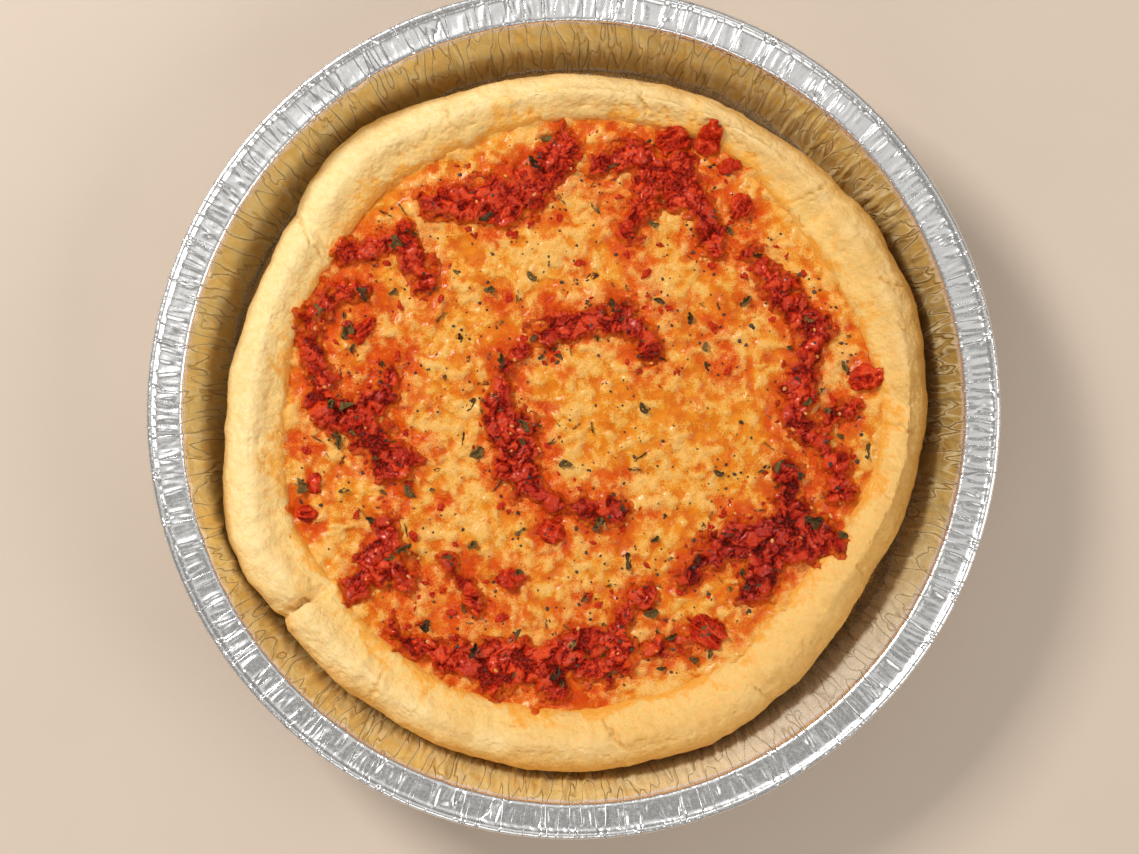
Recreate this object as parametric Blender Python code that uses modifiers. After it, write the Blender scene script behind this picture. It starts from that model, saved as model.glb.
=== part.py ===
"""Deep dish pizza in its round foil pan.

Metres, +Z up. The origin is the middle of the pan's foot, where it stands on a surface.
"""
import math
import random

import bmesh
import bpy
from mathutils import Matrix, Vector, noise
from mathutils.bvhtree import BVHTree
from mathutils.geometry import delaunay_2d_cdt

MM = 0.001
GAP = 0.3 * MM
MERGE = 0.004 * MM
SEED = 7

# Foil pan, a nine inch pan of embossed aluminium foil
RIM_RADIUS = 117.5 * MM
PAN_HEIGHT = 40.0 * MM
FOIL = 0.4 * MM
FLOOR_RADIUS = 100.0 * MM
FLOOR_CORNER = 2.4 * MM
WALL_TOP_RADIUS = 108.0 * MM
WALL_STEPS = 3
CURL_RADIUS = 0.8 * MM
CURL_START = 150.0
CURL_SWEEP = 280.0
CURL_STEPS = 5
FLANGE_DROP = 0.75 * CURL_RADIUS
PAN_STEPS = 90
WALL_PLEAT = 0.25 * MM
FLANGE_PLEAT = 0.28 * MM
RIM_DENT = 0.2 * MM
PLEAT_EDGE = 0.5 * MM

# Crust, baked dough with a thick round edge that stands free of the pan's wall
CRUST_CENTRE = Vector((-0.96 * MM, -2.6 * MM, 0.0))
CRUST_RADIUS = 98.1 * MM
CRUST_STEPS = 84
CRUST_PUFF = 0.8 * MM
PUFF_ROUND = 2.6
PUFF_HEIGHT = 14.0 * MM
PUFF_SIDE = 0.3
# Swellings of the outline: angle and spread in degrees, reach in millimetres
CRUST_SWELLS = (
    (25.0, 20.0, 4.9),
    (128.0, 9.0, 3.5),
    (160.0, 13.0, -2.4),
    (201.0, 7.5, 3.5),
    (221.0, 4.0, 0.6),
    (297.0, 8.0, 1.1),
    (328.0, 12.0, -3.1),
)
# Creases across the edge: angle and half width in degrees, depth in millimetres
CRUST_CREASES = (
    (40.0, 2.2, 0.9),
    (78.0, 1.8, 0.6),
    (143.0, 1.6, 0.9),
    (214.5, 1.5, 2.6),
    (278.0, 1.8, 0.8),
    (306.0, 1.8, 0.7),
)
CREASE_SPREAD = 0.6
CREASE_CLEAR = 1.8
CREASE_NOTCH = 0.45
SHOULDER_CREASE = 0.8
# Width of the bare edge, and where it is wider or narrower: angle and spread in degrees, millimetres
EDGE_WIDTH = 17.0 * MM
EDGE_SWELLS = (
    (82.0, 22.0, -4.2),
    (62.0, 9.0, -3.0),
    (30.0, 12.0, 2.0),
    (352.0, 16.0, -4.6),
    (128.0, 14.0, 1.4),
    (158.0, 10.0, -2.0),
    (206.0, 14.0, 2.0),
    (300.0, 16.0, 1.4),
)
# Section of the edge: its outer side as reach in from the outline and height, then the crown and
# the shoulder as a share of the edge's width and height
FOOT = (9.0 * MM, FOIL + GAP)
OUTER_SIDE = (
    (5.2 * MM, 5.0 * MM),
    (2.2 * MM, 13.0 * MM),
    (0.0, 21.5 * MM),
    (1.4 * MM, 26.2 * MM),
    (4.4 * MM, 29.2 * MM),
)
CROWN = (0.48, 30.8 * MM)
SHOULDER = (0.78, 28.8 * MM)
SLOPE_TOP_Z = 25.5 * MM
DISH_Z = 17.0 * MM
SLOPE_RUN = 3.0 * MM

# Cheese, one baked layer that fills the dish of the crust
CHEESE_EDGE_Z = 25.2 * MM
CHEESE_LEVEL = 24.5 * MM
CHEESE_SIDE_GAP = 0.38 * MM
CHEESE_LATTICE = 6.2 * MM
CHEESE_LATTICE_SHIFT = 0.6 * MM
CHEESE_EDGE_MARGIN = 2.8 * MM
CHEESE_WAVE = 26.0 * MM
CHEESE_WAVE_RISE = 0.7 * MM
CHEESE_LUMP = 7.0 * MM
CHEESE_LUMP_LAYER = 60.0 * MM
CHEESE_LUMP_RISE = 0.9 * MM

# Crushed tomato sauce in thick patches, each along a spine of x, y and half width in mm
SAUCE_LATTICE = 4.1 * MM
SAUCE_SPREAD = 0.6 * MM
SAUCE_EDGE = 0.6 * MM
SAUCE_RISE = 0.8 * MM
SAUCE_RISE_REACH = 2.6 * MM
SAUCE_SKIRT = 1.6 * MM
OUTLINE_RIPPLE = 1.7 * MM
OUTLINE_RIPPLE_SIZE = 5.0 * MM
OUTLINE_RIPPLE_LAYER = 30.0 * MM
RIM_SHIFT = 0.4 * SAUCE_LATTICE
LEAST_SLOPE = 0.2
LUMP_RADIUS = (2.6 * MM, 4.2 * MM)
LUMP_HEIGHT = (0.9 * MM, 1.9 * MM)
LUMP_SPACING = 4.0 * MM
LUMP_INSIDE = 0.3
LUMP_TRIES = 2.0
SAUCE_SPINES = {
    "sauce_top_left": [
        [(-41, 58, 3.6), (-31, 60, 5.8), (-22, 60, 6.8), (-13, 62, 6.4), (-7, 68, 5.4), (-3, 75, 5.2)],
    ],
    "sauce_top": [
        [(7, 68, 4.0), (15, 73, 5.0), (24, 67, 6.4), (33, 61, 5.6), (38, 51, 4.2), (40, 46, 3.2)],
        [(24, 66, 5.0), (18, 57, 4.2), (16, 50, 3.6)],
        [(24, 66, 5.4), (30, 70, 4.6)],
    ],
    "sauce_upper_left": [
        [(-65, 45, 3.0), (-57, 46, 4.2), (-48, 50, 3.6), (-44, 43, 4.2), (-42, 36, 4.2)],
    ],
    "sauce_left": [
        [(-60, 35, 3.0), (-67, 33, 3.6), (-74, 27, 3.2), (-73, 18, 3.6), (-70, 8, 4.8), (-69, 0, 6.0)],
        [(-69, 0, 6.0), (-61, -2, 6.0), (-56, -7, 5.6), (-51, -14, 5.6), (-46, -13, 3.4)],
        [(-62, -1, 4.4), (-54, 4, 5.2), (-50, 9, 3.4)],
    ],
    "sauce_lower_left": [
        [(-52, -30, 3.4), (-54, -37, 5.4), (-57, -44, 5.6), (-61, -49, 3.8)],
        [(-57, -44, 5.0), (-49, -44, 4.8), (-46, -49, 3.2)],
    ],
    "sauce_bottom": [
        [(-50, -62, 3.0), (-42, -66, 4.0), (-32, -69, 5.4), (-20, -70, 6.2), (-8, -70, 6.4), (2, -65, 5.2)],
        [(2, -65, 5.0), (12, -62, 4.0), (15, -54, 4.2), (21, -50, 2.4)],
        [(-8, -70, 5.4), (-5, -78, 4.8)],
        [(-2, -70, 5.0), (9, -73, 4.4), (14, -67, 4.0)],
        [(-20, -70, 5.4), (-22, -76, 4.4)],
    ],
    "sauce_lower_right": [
        [(31, -47, 2.8), (38, -40, 4.2), (47, -36, 6.4), (58, -36, 7.8), (68, -35, 6.2), (73, -36, 3.2)],
        [(58, -36, 7.0), (53, -45, 6.2), (50, -50, 4.8)],
        [(58, -36, 6.4), (61, -26, 5.2), (60, -17, 4.4)],
    ],
    "sauce_right_low": [
        [(22, -66, 2.6), (27, -65, 3.4), (30, -63, 2.4)],
    ],
    "sauce_right": [
        [(75, -22, 3.4), (74, -14, 3.8), (69, -9, 3.4), (63, -4, 3.6), (63, 7, 5.2), (66, 15, 4.2)],
        [(66, 15, 4.4), (68, 24, 5.0), (61, 30, 4.6), (55, 37, 4.4), (51, 44, 3.0)],
        [(63, -4, 3.6), (72, -2, 3.2), (78, 1, 3.2)],
    ],
    "sauce_centre": [
        [(-13, 20, 2.8), (-4, 24, 4.8), (6, 26, 4.2), (15, 26, 4.8), (21, 19, 4.2), (22, 15, 3.0)],
        [(-20, 9, 3.4), (-20, 0, 5.6), (-17, -6, 7.4), (-16, -13, 7.0), (-13, -20, 5.4), (-6, -24, 3.0)],
        [(-20, 9, 2.8), (-17, 15, 2.4), (-13, 20, 2.6)],
        [(-6, -24, 3.0), (0, -26, 3.2), (6, -28, 4.0), (12, -27, 4.6)],
    ],
    "sauce_low_strip": [
        [(-36, -41, 2.4), (-30, -50, 3.0), (-26, -55, 2.6)],
    ],
}
# Large single pieces of tomato: x, y, half length, half width, height in mm, turn in degrees
TOMATO_PIECES = {
    "tomato_top_a": (28.2, 76.4, 5.0, 4.2, 3.4, 30.0),
    "tomato_top_b": (38.0, 76.6, 4.6, 3.4, 3.2, 75.0),
    "tomato_upper_right": (46.8, 57.8, 4.2, 3.0, 2.8, 60.0),
    "tomato_right": (82.0, 10.2, 4.8, 3.8, 2.8, 15.0),
    "tomato_lower_right": (37.5, -61.5, 5.8, 4.2, 3.2, -35.0),
    "tomato_left_low": (-74.8, -28.4, 2.8, 2.4, 2.2, 0.0),
    "tomato_left": (-72.6, -19.6, 3.0, 2.2, 1.8, 80.0),
    "tomato_left_inner": (-59.2, 22.8, 4.6, 2.5, 2.2, 45.0),
    "tomato_middle": (-6.4, -33.4, 4.2, 3.4, 2.8, -20.0),
    "tomato_middle_low": (-17.5, -46.2, 4.2, 2.6, 2.2, 10.0),
}
TOMATO_ROUGHNESS = 0.16

# Dried herb leaves: x, y, length in mm, turn in degrees
FLAKES = (
    (-49.2, 47.8, 5.0, 30), (-59.3, 32.7, 5.0, 10), (-6.9, 75.9, 5.0, 60), (-10.8, 70.0, 4.6, 110),
    (-24.8, 55.1, 4.4, 20), (5.5, 38.0, 4.4, 15), (48.1, 31.3, 4.0, 50), (-63.8, 23.1, 5.2, 40),
    (-71.6, 28.7, 4.0, 70), (-63.2, 1.5, 4.6, 0), (-65.5, -8.3, 4.0, 120), (-20.0, 14.4, 4.4, 35),
    (-4.3, 16.7, 4.4, 90), (11.4, 29.9, 4.6, 150), (-28.5, 2.4, 4.6, 45), (-13.9, -3.8, 4.6, 80),
    (-27.3, -11.1, 4.4, 130), (-2.1, -14.7, 4.0, 10), (-75.9, -20.0, 5.2, -10), (-56.5, -30.4, 4.0, 70),
    (-46.1, -21.7, 4.4, 100), (-47.5, -37.7, 4.6, 0), (-41.1, -59.9, 4.0, 40), (-16.4, -62.7, 5.0, 60),
    (-27.9, -66.6, 4.6, 20), (-5.5, -72.5, 5.0, 140), (15.6, -41.4, 5.2, 25), (7.0, -30.0, 4.6, 75),
    (36.9, -60.7, 4.2, 50), (75.3, -34.6, 4.4, 110), (67.2, -29.6, 5.2, 10), (82.3, -10.8, 4.6, 65),
    (57.9, -15.0, 4.2, 30), (65.5, 26.5, 4.2, 80), (21.7, -56.2, 4.2, 160), (24.0, 31.3, 3.4, 0),
)
FLAKE_WIDTH = 0.5
FLAKE_REACH = 0.6
FLAKE_THICKNESS = 1.3 * MM
FLAKE_SIDES = 5
FLAKE_TILT = 14.0
FLAKE_TAPER = 0.88
FLAKE_UNEVEN = (0.15, 0.25)
FLAKE_LIFT = 0.1 * MM

COLOURS = {
    "foil": ((0.78, 0.77, 0.75, 1.0), 0.3, 1.0),
    "crust": ((0.86, 0.66, 0.36, 1.0), 0.75, 0.0),
    "cheese": ((0.83, 0.47, 0.14, 1.0), 0.4, 0.0),
    "sauce": ((0.42, 0.05, 0.02, 1.0), 0.35, 0.0),
    "tomato": ((0.55, 0.06, 0.02, 1.0), 0.3, 0.0),
}


def clear_scene():
    """Take every object out of the open file."""
    for old in list(bpy.data.objects):
        bpy.data.objects.remove(old, do_unlink=True)


def new_collection(name):
    """A collection linked to the scene."""
    collection = bpy.data.collections.new(name)
    bpy.context.scene.collection.children.link(collection)
    return collection


def make_material(name):
    """A plain Principled material with the colour, roughness and metallic value of its part."""
    colour, roughness, metallic = COLOURS[name]
    material = bpy.data.materials.new(name)
    material.use_nodes = True
    shader = material.node_tree.nodes["Principled BSDF"]
    shader.inputs["Base Color"].default_value = colour
    shader.inputs["Roughness"].default_value = roughness
    shader.inputs["Metallic"].default_value = metallic
    material.diffuse_color = colour
    return material


def add_object(name, bm, collection, material=None):
    """An object from a bmesh, which is freed."""
    mesh = bpy.data.meshes.new(name)
    bm.to_mesh(mesh)
    bm.free()
    if material:
        mesh.materials.append(material)
    obj = bpy.data.objects.new(name, mesh)
    collection.objects.link(obj)
    return obj


def polar(radius, degrees, z=0.0):
    """A point at a radius and an angle about the Z axis."""
    turn = math.radians(degrees)
    return Vector((radius * math.cos(turn), radius * math.sin(turn), z))


def swelling(degrees, at, spread, reach):
    """A smooth bump of an outline round the angle at."""
    away = (degrees - at + 180.0) % 360.0 - 180.0
    return reach * math.exp(-0.5 * (away / spread) ** 2)


def smooth_step(low, high, value):
    """Share from 0 at low to 1 at high, eased at both ends."""
    share = min(1.0, max(0.0, (value - low) / (high - low)))
    return share * share * (3.0 - 2.0 * share)


def pan_profile():
    """Underside of the foil, from the middle of the floor to the end of the rolled rim."""
    curl_x = RIM_RADIUS - FOIL - CURL_RADIUS
    curl_z = PAN_HEIGHT - FOIL - CURL_RADIUS
    flange_z = curl_z + CURL_RADIUS - FLANGE_DROP
    foot = (FLOOR_RADIUS, 0.5 * FLOOR_CORNER)
    points = [(0.0, 0.0), (FLOOR_RADIUS - FLOOR_CORNER, 0.0), foot]
    for step in range(1, WALL_STEPS + 1):
        share = step / WALL_STEPS
        radius = foot[0] + share * (WALL_TOP_RADIUS - foot[0])
        points.append((radius, foot[1] + share * (flange_z - foot[1])))
    points.append((0.5 * (WALL_TOP_RADIUS + curl_x - CURL_RADIUS), flange_z))
    for step in range(CURL_STEPS):
        turn = math.radians(CURL_START - CURL_SWEEP * step / (CURL_STEPS - 1))
        points.append((curl_x + CURL_RADIUS * math.cos(turn), curl_z + CURL_RADIUS * math.sin(turn)))
    return points


def pleat_foil(bm, rng):
    """Press the pleats into the wall and flange and dent the rim."""
    pleats = [rng.uniform(-1.0, 1.0) for _ in range(PAN_STEPS)]
    flange_inner = WALL_TOP_RADIUS + PLEAT_EDGE
    rim_inner = RIM_RADIUS - FOIL - 2.0 * CURL_RADIUS
    for vert in bm.verts:
        radius = vert.co.xy.length
        if radius < FLOOR_RADIUS + 0.2 * PLEAT_EDGE:
            continue
        turn = math.degrees(math.atan2(vert.co.y, vert.co.x)) % 360.0
        pleat = pleats[round(turn * PAN_STEPS / 360.0) % PAN_STEPS]
        outward = Vector((vert.co.x, vert.co.y, 0.0)) / radius
        if radius < flange_inner:
            vert.co += outward * (WALL_PLEAT * pleat)
        elif radius < rim_inner:
            vert.co.z += FLANGE_PLEAT * pleat
        else:
            vert.co -= outward * (RIM_DENT * abs(pleat))


def build_pan(collection, material, rng):
    """Spin the foil's section, pleat it and give it its thickness."""
    bm = bmesh.new()
    verts = [bm.verts.new((radius, 0.0, z)) for radius, z in pan_profile()]
    edges = [bm.edges.new(pair) for pair in zip(verts, verts[1:])]
    bmesh.ops.spin(
        bm, geom=verts + edges, cent=(0, 0, 0), axis=(0, 0, 1), angle=2.0 * math.pi,
        steps=PAN_STEPS, use_merge=True,
    )
    bmesh.ops.remove_doubles(bm, verts=bm.verts, dist=MERGE)
    pleat_foil(bm, rng)
    bmesh.ops.recalc_face_normals(bm, faces=bm.faces)
    lowest = min(bm.faces, key=lambda face: face.calc_center_median().xy.length)
    if lowest.normal.z > 0.0:
        bmesh.ops.reverse_faces(bm, faces=bm.faces)
    pan = add_object("foil_pan", bm, collection, material)
    pan.data.shade_smooth()
    thickness = pan.modifiers.new("foil", "SOLIDIFY")
    thickness.thickness = FOIL
    thickness.offset = -1.0
    return pan


def crust_angles():
    """Even steps round the crust, with three closer ones at each crease."""
    angles = [360.0 * step / CRUST_STEPS for step in range(CRUST_STEPS)]
    for at, half_width, _ in CRUST_CREASES:
        angles = [angle for angle in angles if abs(angle - at) > CREASE_CLEAR * half_width]
        angles += [at - half_width, at, at + half_width]
    return sorted(angles)


def crease_depth(degrees):
    """How deep the crust is creased at an angle, in metres."""
    depth = 0.0
    for at, half_width, deep in CRUST_CREASES:
        depth += swelling(degrees, at, CREASE_SPREAD * half_width, deep)
    return depth * MM


def outline_radius(degrees):
    """Radius of the crust's widest outline."""
    radius = CRUST_RADIUS
    for at, spread, reach in CRUST_SWELLS:
        radius += swelling(degrees, at, spread, reach) * MM
    return radius - CREASE_NOTCH * crease_depth(degrees)


def edge_width(degrees):
    """Width of the bare edge, from the outline in to the cheese."""
    width = EDGE_WIDTH
    for at, spread, gain in EDGE_SWELLS:
        width += swelling(degrees, at, spread, gain) * MM
    return width


def dish_radius(degrees):
    """Radius at which the crust's inner slope starts to go down under the cheese."""
    return outline_radius(degrees) - edge_width(degrees)


def puff(degrees, height):
    """Slow unevenness of the dough round the edge."""
    return CRUST_PUFF * noise.noise(polar(PUFF_ROUND, degrees, height / PUFF_HEIGHT))


def crust_section(degrees, grow=0.0):
    """Section of the crust at an angle, from its foot to the dish floor, grown on its inner side."""
    outline = outline_radius(degrees)
    inner = dish_radius(degrees)
    width = edge_width(degrees)
    crease = crease_depth(degrees)
    points = [(outline - FOOT[0], FOOT[1])]
    for reach, z in OUTER_SIDE:
        lift = puff(degrees, z)
        sink = crease * smooth_step(SLOPE_TOP_Z, CROWN[1], z)
        radius = outline - reach + PUFF_SIDE * (lift - CRUST_PUFF)
        points.append((radius, z + lift * z / PAN_HEIGHT - sink + grow))
    crown_z = CROWN[1] + puff(degrees, CROWN[1]) - crease
    points.append((outline - CROWN[0] * width, crown_z + grow))
    shoulder_z = SHOULDER[1] - SHOULDER_CREASE * crease
    points.append((outline - SHOULDER[0] * width - grow, shoulder_z + grow))
    points.append((inner - grow, SLOPE_TOP_Z + grow))
    points.append((inner - SLOPE_RUN - grow, DISH_Z + grow))
    return points


def loft_round(sections, angles, centre, low_z, high_z):
    """Closed body from sections round the Z axis, with a fan below and one above."""
    bm = bmesh.new()
    rows = []
    for section, degrees in zip(sections, angles):
        rows.append([bm.verts.new(centre + polar(radius, degrees, z)) for radius, z in section])
    foot = bm.verts.new(centre + Vector((0.0, 0.0, low_z)))
    top = bm.verts.new(centre + Vector((0.0, 0.0, high_z)))
    for row, after in zip(rows, rows[1:] + rows[:1]):
        for one, two, three, four in zip(row, after, after[1:], row[1:]):
            bm.faces.new((one, two, three, four))
        bm.faces.new((after[0], row[0], foot))
        bm.faces.new((row[-1], after[-1], top))
    bmesh.ops.triangulate(bm, faces=bm.faces)
    bmesh.ops.recalc_face_normals(bm, faces=bm.faces)
    return bm


def crust_body(grow=0.0):
    """The dough, a thick base and the round edge in one, or the same grown to trim what leans on it."""
    angles = crust_angles()
    sections = [crust_section(degrees, grow) for degrees in angles]
    return loft_round(sections, angles, CRUST_CENTRE, FOOT[1], DISH_Z + grow)


def build_crust(collection, material):
    """The crust as an object."""
    crust = add_object("crust", crust_body(), collection, material)
    crust.data.shade_smooth()
    return crust


def cheese_top(x, y):
    """Height of the baked cheese at a place: slow waves with soft lumps on them."""
    wave = noise.noise(Vector((x, y, 0.0)) / CHEESE_WAVE)
    lump = noise.noise(Vector((x, y, CHEESE_LUMP_LAYER)) / CHEESE_LUMP)
    return CHEESE_LEVEL + CHEESE_WAVE_RISE * wave + CHEESE_LUMP_RISE * lump


def cheese_lattice(outline, rng):
    """Uneven triangular lattice of points well inside the cheese's outline."""
    spots = []
    reach = max(point.length for point in outline)
    rise = CHEESE_LATTICE * math.sin(math.radians(60.0))
    rows = math.ceil(reach / rise)
    for row in range(-rows, rows + 1):
        y = row * rise
        for column in range(-rows, rows + 1):
            x = (column + 0.5 * (row % 2)) * CHEESE_LATTICE
            shift = [CHEESE_LATTICE_SHIFT * rng.uniform(-1.0, 1.0) for _ in range(2)]
            spot = Vector((x + shift[0], y + shift[1]))
            edge = dish_radius(math.degrees(math.atan2(spot.y, spot.x)) % 360.0)
            if spot.length < edge - CHEESE_EDGE_MARGIN:
                spots.append(spot)
    return spots


def cheese_body(grow=0.0):
    """The cheese as one closed body in the crust's dish, or the same grown over the slit beside it."""
    rng = random.Random(SEED)
    angles = crust_angles()
    edge_drop = (SLOPE_TOP_Z - CHEESE_EDGE_Z) / (SLOPE_TOP_Z - DISH_Z) * SLOPE_RUN
    outline = []
    for degrees in angles:
        radius = dish_radius(degrees) - edge_drop - CHEESE_SIDE_GAP
        outline.append(polar(radius + 2.0 * grow, degrees).xy)
    count = len(outline)
    spots = outline + cheese_lattice(outline, rng)
    flat, _, faces, _, _, _ = delaunay_2d_cdt(spots, [], [list(range(count))], 1, 1e-7)
    bm = bmesh.new()
    verts = []
    for index, point in enumerate(flat):
        place = CRUST_CENTRE + point.to_3d()
        place.z = grow + (CHEESE_EDGE_Z if index < count else cheese_top(place.x, place.y))
        verts.append(bm.verts.new(place))
    for face in faces:
        bm.faces.new([verts[index] for index in face])
    low = []
    for degrees in angles:
        radius = dish_radius(degrees) - SLOPE_RUN - 2.0 * CHEESE_SIDE_GAP
        low.append(bm.verts.new(CRUST_CENTRE + polar(radius + 2.0 * grow, degrees, DISH_Z + GAP)))
    middle = bm.verts.new(CRUST_CENTRE + Vector((0.0, 0.0, DISH_Z + GAP)))
    for index in range(count):
        after = (index + 1) % count
        bm.faces.new((verts[index], verts[after], low[after], low[index]))
        bm.faces.new((low[index], low[after], middle))
    bmesh.ops.triangulate(bm, faces=bm.faces)
    bmesh.ops.recalc_face_normals(bm, faces=bm.faces)
    return bm


def rough_lump(place, radii, turn, subdivisions, rng):
    """A bmesh of one uneven rounded lump."""
    bm = bmesh.new()
    shape = Matrix.Translation(place) @ Matrix.Rotation(turn, 4, "Z") @ Matrix.Diagonal((*radii, 1.0))
    bmesh.ops.create_icosphere(bm, subdivisions=subdivisions, radius=1.0)
    for vert in bm.verts:
        vert.co *= 1.0 + rng.uniform(-TOMATO_ROUGHNESS, TOMATO_ROUGHNESS)
    bmesh.ops.transform(bm, matrix=shape, verts=bm.verts)
    return bm


def flake_body(place, length, turn, rng):
    """A bmesh of one thin curled herb leaf, as an uneven plate."""
    bm = bmesh.new()
    bmesh.ops.create_cone(
        bm, cap_ends=True, cap_tris=False, segments=FLAKE_SIDES, radius1=0.5, radius2=0.5 * FLAKE_TAPER,
        depth=1.0,
    )
    for vert in bm.verts:
        vert.co.x *= 1.0 + FLAKE_UNEVEN[0] * rng.uniform(-1.0, 1.0)
        vert.co.y *= 1.0 + FLAKE_UNEVEN[1] * rng.uniform(-1.0, 1.0)
    tilt = math.radians(rng.uniform(-FLAKE_TILT, FLAKE_TILT))
    shape = Matrix.Translation(place) @ Matrix.Rotation(math.radians(turn), 4, "Z")
    shape = shape @ Matrix.Rotation(tilt, 4, "Y")
    shape = shape @ Matrix.Diagonal((length, length * FLAKE_WIDTH, FLAKE_THICKNESS, 1.0))
    bmesh.ops.transform(bm, matrix=shape, verts=bm.verts)
    bmesh.ops.triangulate(bm, faces=bm.faces)
    return bm


def evaluated_bmesh(obj):
    """A bmesh of the object as its modifiers leave it, in world space."""
    graph = bpy.context.evaluated_depsgraph_get()
    graph.update()
    bm = bmesh.new()
    bm.from_object(obj, graph)
    return bm


def connected_faces(bm):
    """Groups of faces that meet along edges shared by two faces."""
    left = set(bm.faces)
    groups = []
    while left:
        group = set()
        queue = [left.pop()]
        while queue:
            face = queue.pop()
            group.add(face)
            for edge in face.edges:
                if len(edge.link_faces) != 2:
                    continue
                near = [other for other in edge.link_faces if other in left]
                queue += near
                left.difference_update(near)
        groups.append(group)
    return groups


def drop_scraps(bm):
    """Keep the largest connected skin, without loose scraps and the skins of sealed hollows."""
    groups = connected_faces(bm)
    keep = max(groups, key=len)
    scraps = [face for face in bm.faces if face not in keep]
    bmesh.ops.delete(bm, geom=scraps, context="FACES")
    bare = [vert for vert in bm.verts if not vert.link_faces]
    bmesh.ops.delete(bm, geom=bare, context="VERTS")


def largest_body(bm):
    """Keep one closed body, with close points merged."""
    drop_scraps(bm)
    bmesh.ops.remove_doubles(bm, verts=bm.verts, dist=MERGE)
    bmesh.ops.dissolve_degenerate(bm, edges=bm.edges, dist=MERGE)
    drop_scraps(bm)
    bmesh.ops.triangulate(bm, faces=bm.faces)


def scratch_object(name, bm, collection):
    """A body that only serves a Boolean."""
    obj = add_object(name, bm, collection)
    obj.hide_render = True
    obj.display_type = "WIRE"
    return obj


def remove_collection(collection):
    """Remove a collection with its objects."""
    for obj in list(collection.objects):
        bpy.data.objects.remove(obj, do_unlink=True)
    bpy.data.collections.remove(collection)


def fuse(bm, others):
    """One Boolean union of a body with a collection of bodies, applied."""
    scratch = new_collection("scratch")
    pieces = new_collection("pieces")
    base = scratch_object("base", bm, scratch)
    for index, other in enumerate(others):
        scratch_object(f"piece_{index}", other, pieces)
    union = base.modifiers.new("fuse", "BOOLEAN")
    union.operation = "UNION"
    union.operand_type = "COLLECTION"
    union.collection = pieces
    result = evaluated_bmesh(base)
    remove_collection(pieces)
    remove_collection(scratch)
    largest_body(result)
    return result


def box_of(bm):
    """Lowest and highest corner of a body."""
    corners = [vert.co for vert in bm.verts]
    low = [min(corner[axis] for corner in corners) for axis in range(3)]
    high = [max(corner[axis] for corner in corners) for axis in range(3)]
    return low, high


def boxes_meet(one, two):
    """Whether the boxes of two bodies overlap."""
    (low_a, high_a), (low_b, high_b) = box_of(one), box_of(two)
    return all(low_a[axis] < high_b[axis] and low_b[axis] < high_a[axis] for axis in range(3))


def trim(bm, cutters):
    """Cut a body clear of each cutter that it meets."""
    near = [cutter for cutter in cutters if boxes_meet(bm, cutter)]
    scratch = new_collection("cutters")
    base = scratch_object("base", bm, scratch)
    for index, cutter in enumerate(near):
        cut = base.modifiers.new("trim", "BOOLEAN")
        cut.operation = "DIFFERENCE"
        cut.object = scratch_object(f"cutter_{index}", cutter.copy(), scratch)
    result = evaluated_bmesh(base)
    remove_collection(scratch)
    largest_body(result)
    return result


def inside_depth(spines, x, y):
    """How far a place is inside a patch, negative outside it, with a rippled outline."""
    place = Vector((x, y))
    depth = -1.0
    for spine in spines:
        for (x0, y0, width0), (x1, y1, width1) in zip(spine, spine[1:]):
            start = Vector((x0 * MM, y0 * MM))
            run = Vector((x1 * MM, y1 * MM)) - start
            share = min(1.0, max(0.0, (place - start).dot(run) / run.length_squared))
            width = (width0 + (width1 - width0) * share) * MM
            depth = max(depth, width - (place - start - run * share).length)
    ripple = OUTLINE_RIPPLE * noise.noise(Vector((x, y, OUTLINE_RIPPLE_LAYER)) / OUTLINE_RIPPLE_SIZE)
    return depth + SAUCE_SPREAD + ripple


def patch_box(spines):
    """Lowest and highest x and y that a patch can reach."""
    points = [point for spine in spines for point in spine]
    margin = 2.0
    low = [min(point[axis] - point[2] for point in points) - margin for axis in range(2)]
    high = [max(point[axis] + point[2] for point in points) + margin for axis in range(2)]
    return [value * MM for value in low + high]


def lattice_skin(spines, low_x, low_y, high_x, high_y):
    """Flat triangles of a lattice that lie inside a patch, with its rim moved onto the outline."""
    rise = SAUCE_LATTICE * math.sin(math.radians(60.0))
    bm = bmesh.new()
    grid = {}
    rows = math.ceil((high_y - low_y) / rise)
    columns = math.ceil((high_x - low_x) / SAUCE_LATTICE)
    for row in range(rows + 1):
        for column in range(columns + 1):
            x = low_x + (column + 0.5 * (row % 2)) * SAUCE_LATTICE
            grid[row, column] = bm.verts.new((x, low_y + row * rise, 0.0))
    for row in range(rows):
        for column in range(columns):
            corner, right = grid[row, column], grid[row, column + 1]
            above, above_right = grid[row + 1, column], grid[row + 1, column + 1]
            if row % 2:
                bm.faces.new((corner, right, above_right))
                bm.faces.new((corner, above_right, above))
            else:
                bm.faces.new((corner, right, above))
                bm.faces.new((right, above_right, above))
    outside = []
    for face in bm.faces:
        middle = face.calc_center_median()
        if inside_depth(spines, middle.x, middle.y) < 0.0:
            outside.append(face)
    bmesh.ops.delete(bm, geom=outside, context="FACES")
    open_pinches(bm)
    drop_scraps(bm)
    move_rim_to_outline(bm, spines)
    return bm


def open_pinches(bm):
    """Take away faces where two parts of the skin meet at one point only."""
    while True:
        pinched = []
        for vert in bm.verts:
            rim = sum(edge.is_boundary for edge in vert.link_edges)
            if rim > 2:
                pinched += vert.link_faces
        if not pinched:
            return
        bmesh.ops.delete(bm, geom=list(set(pinched)), context="FACES")


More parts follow.
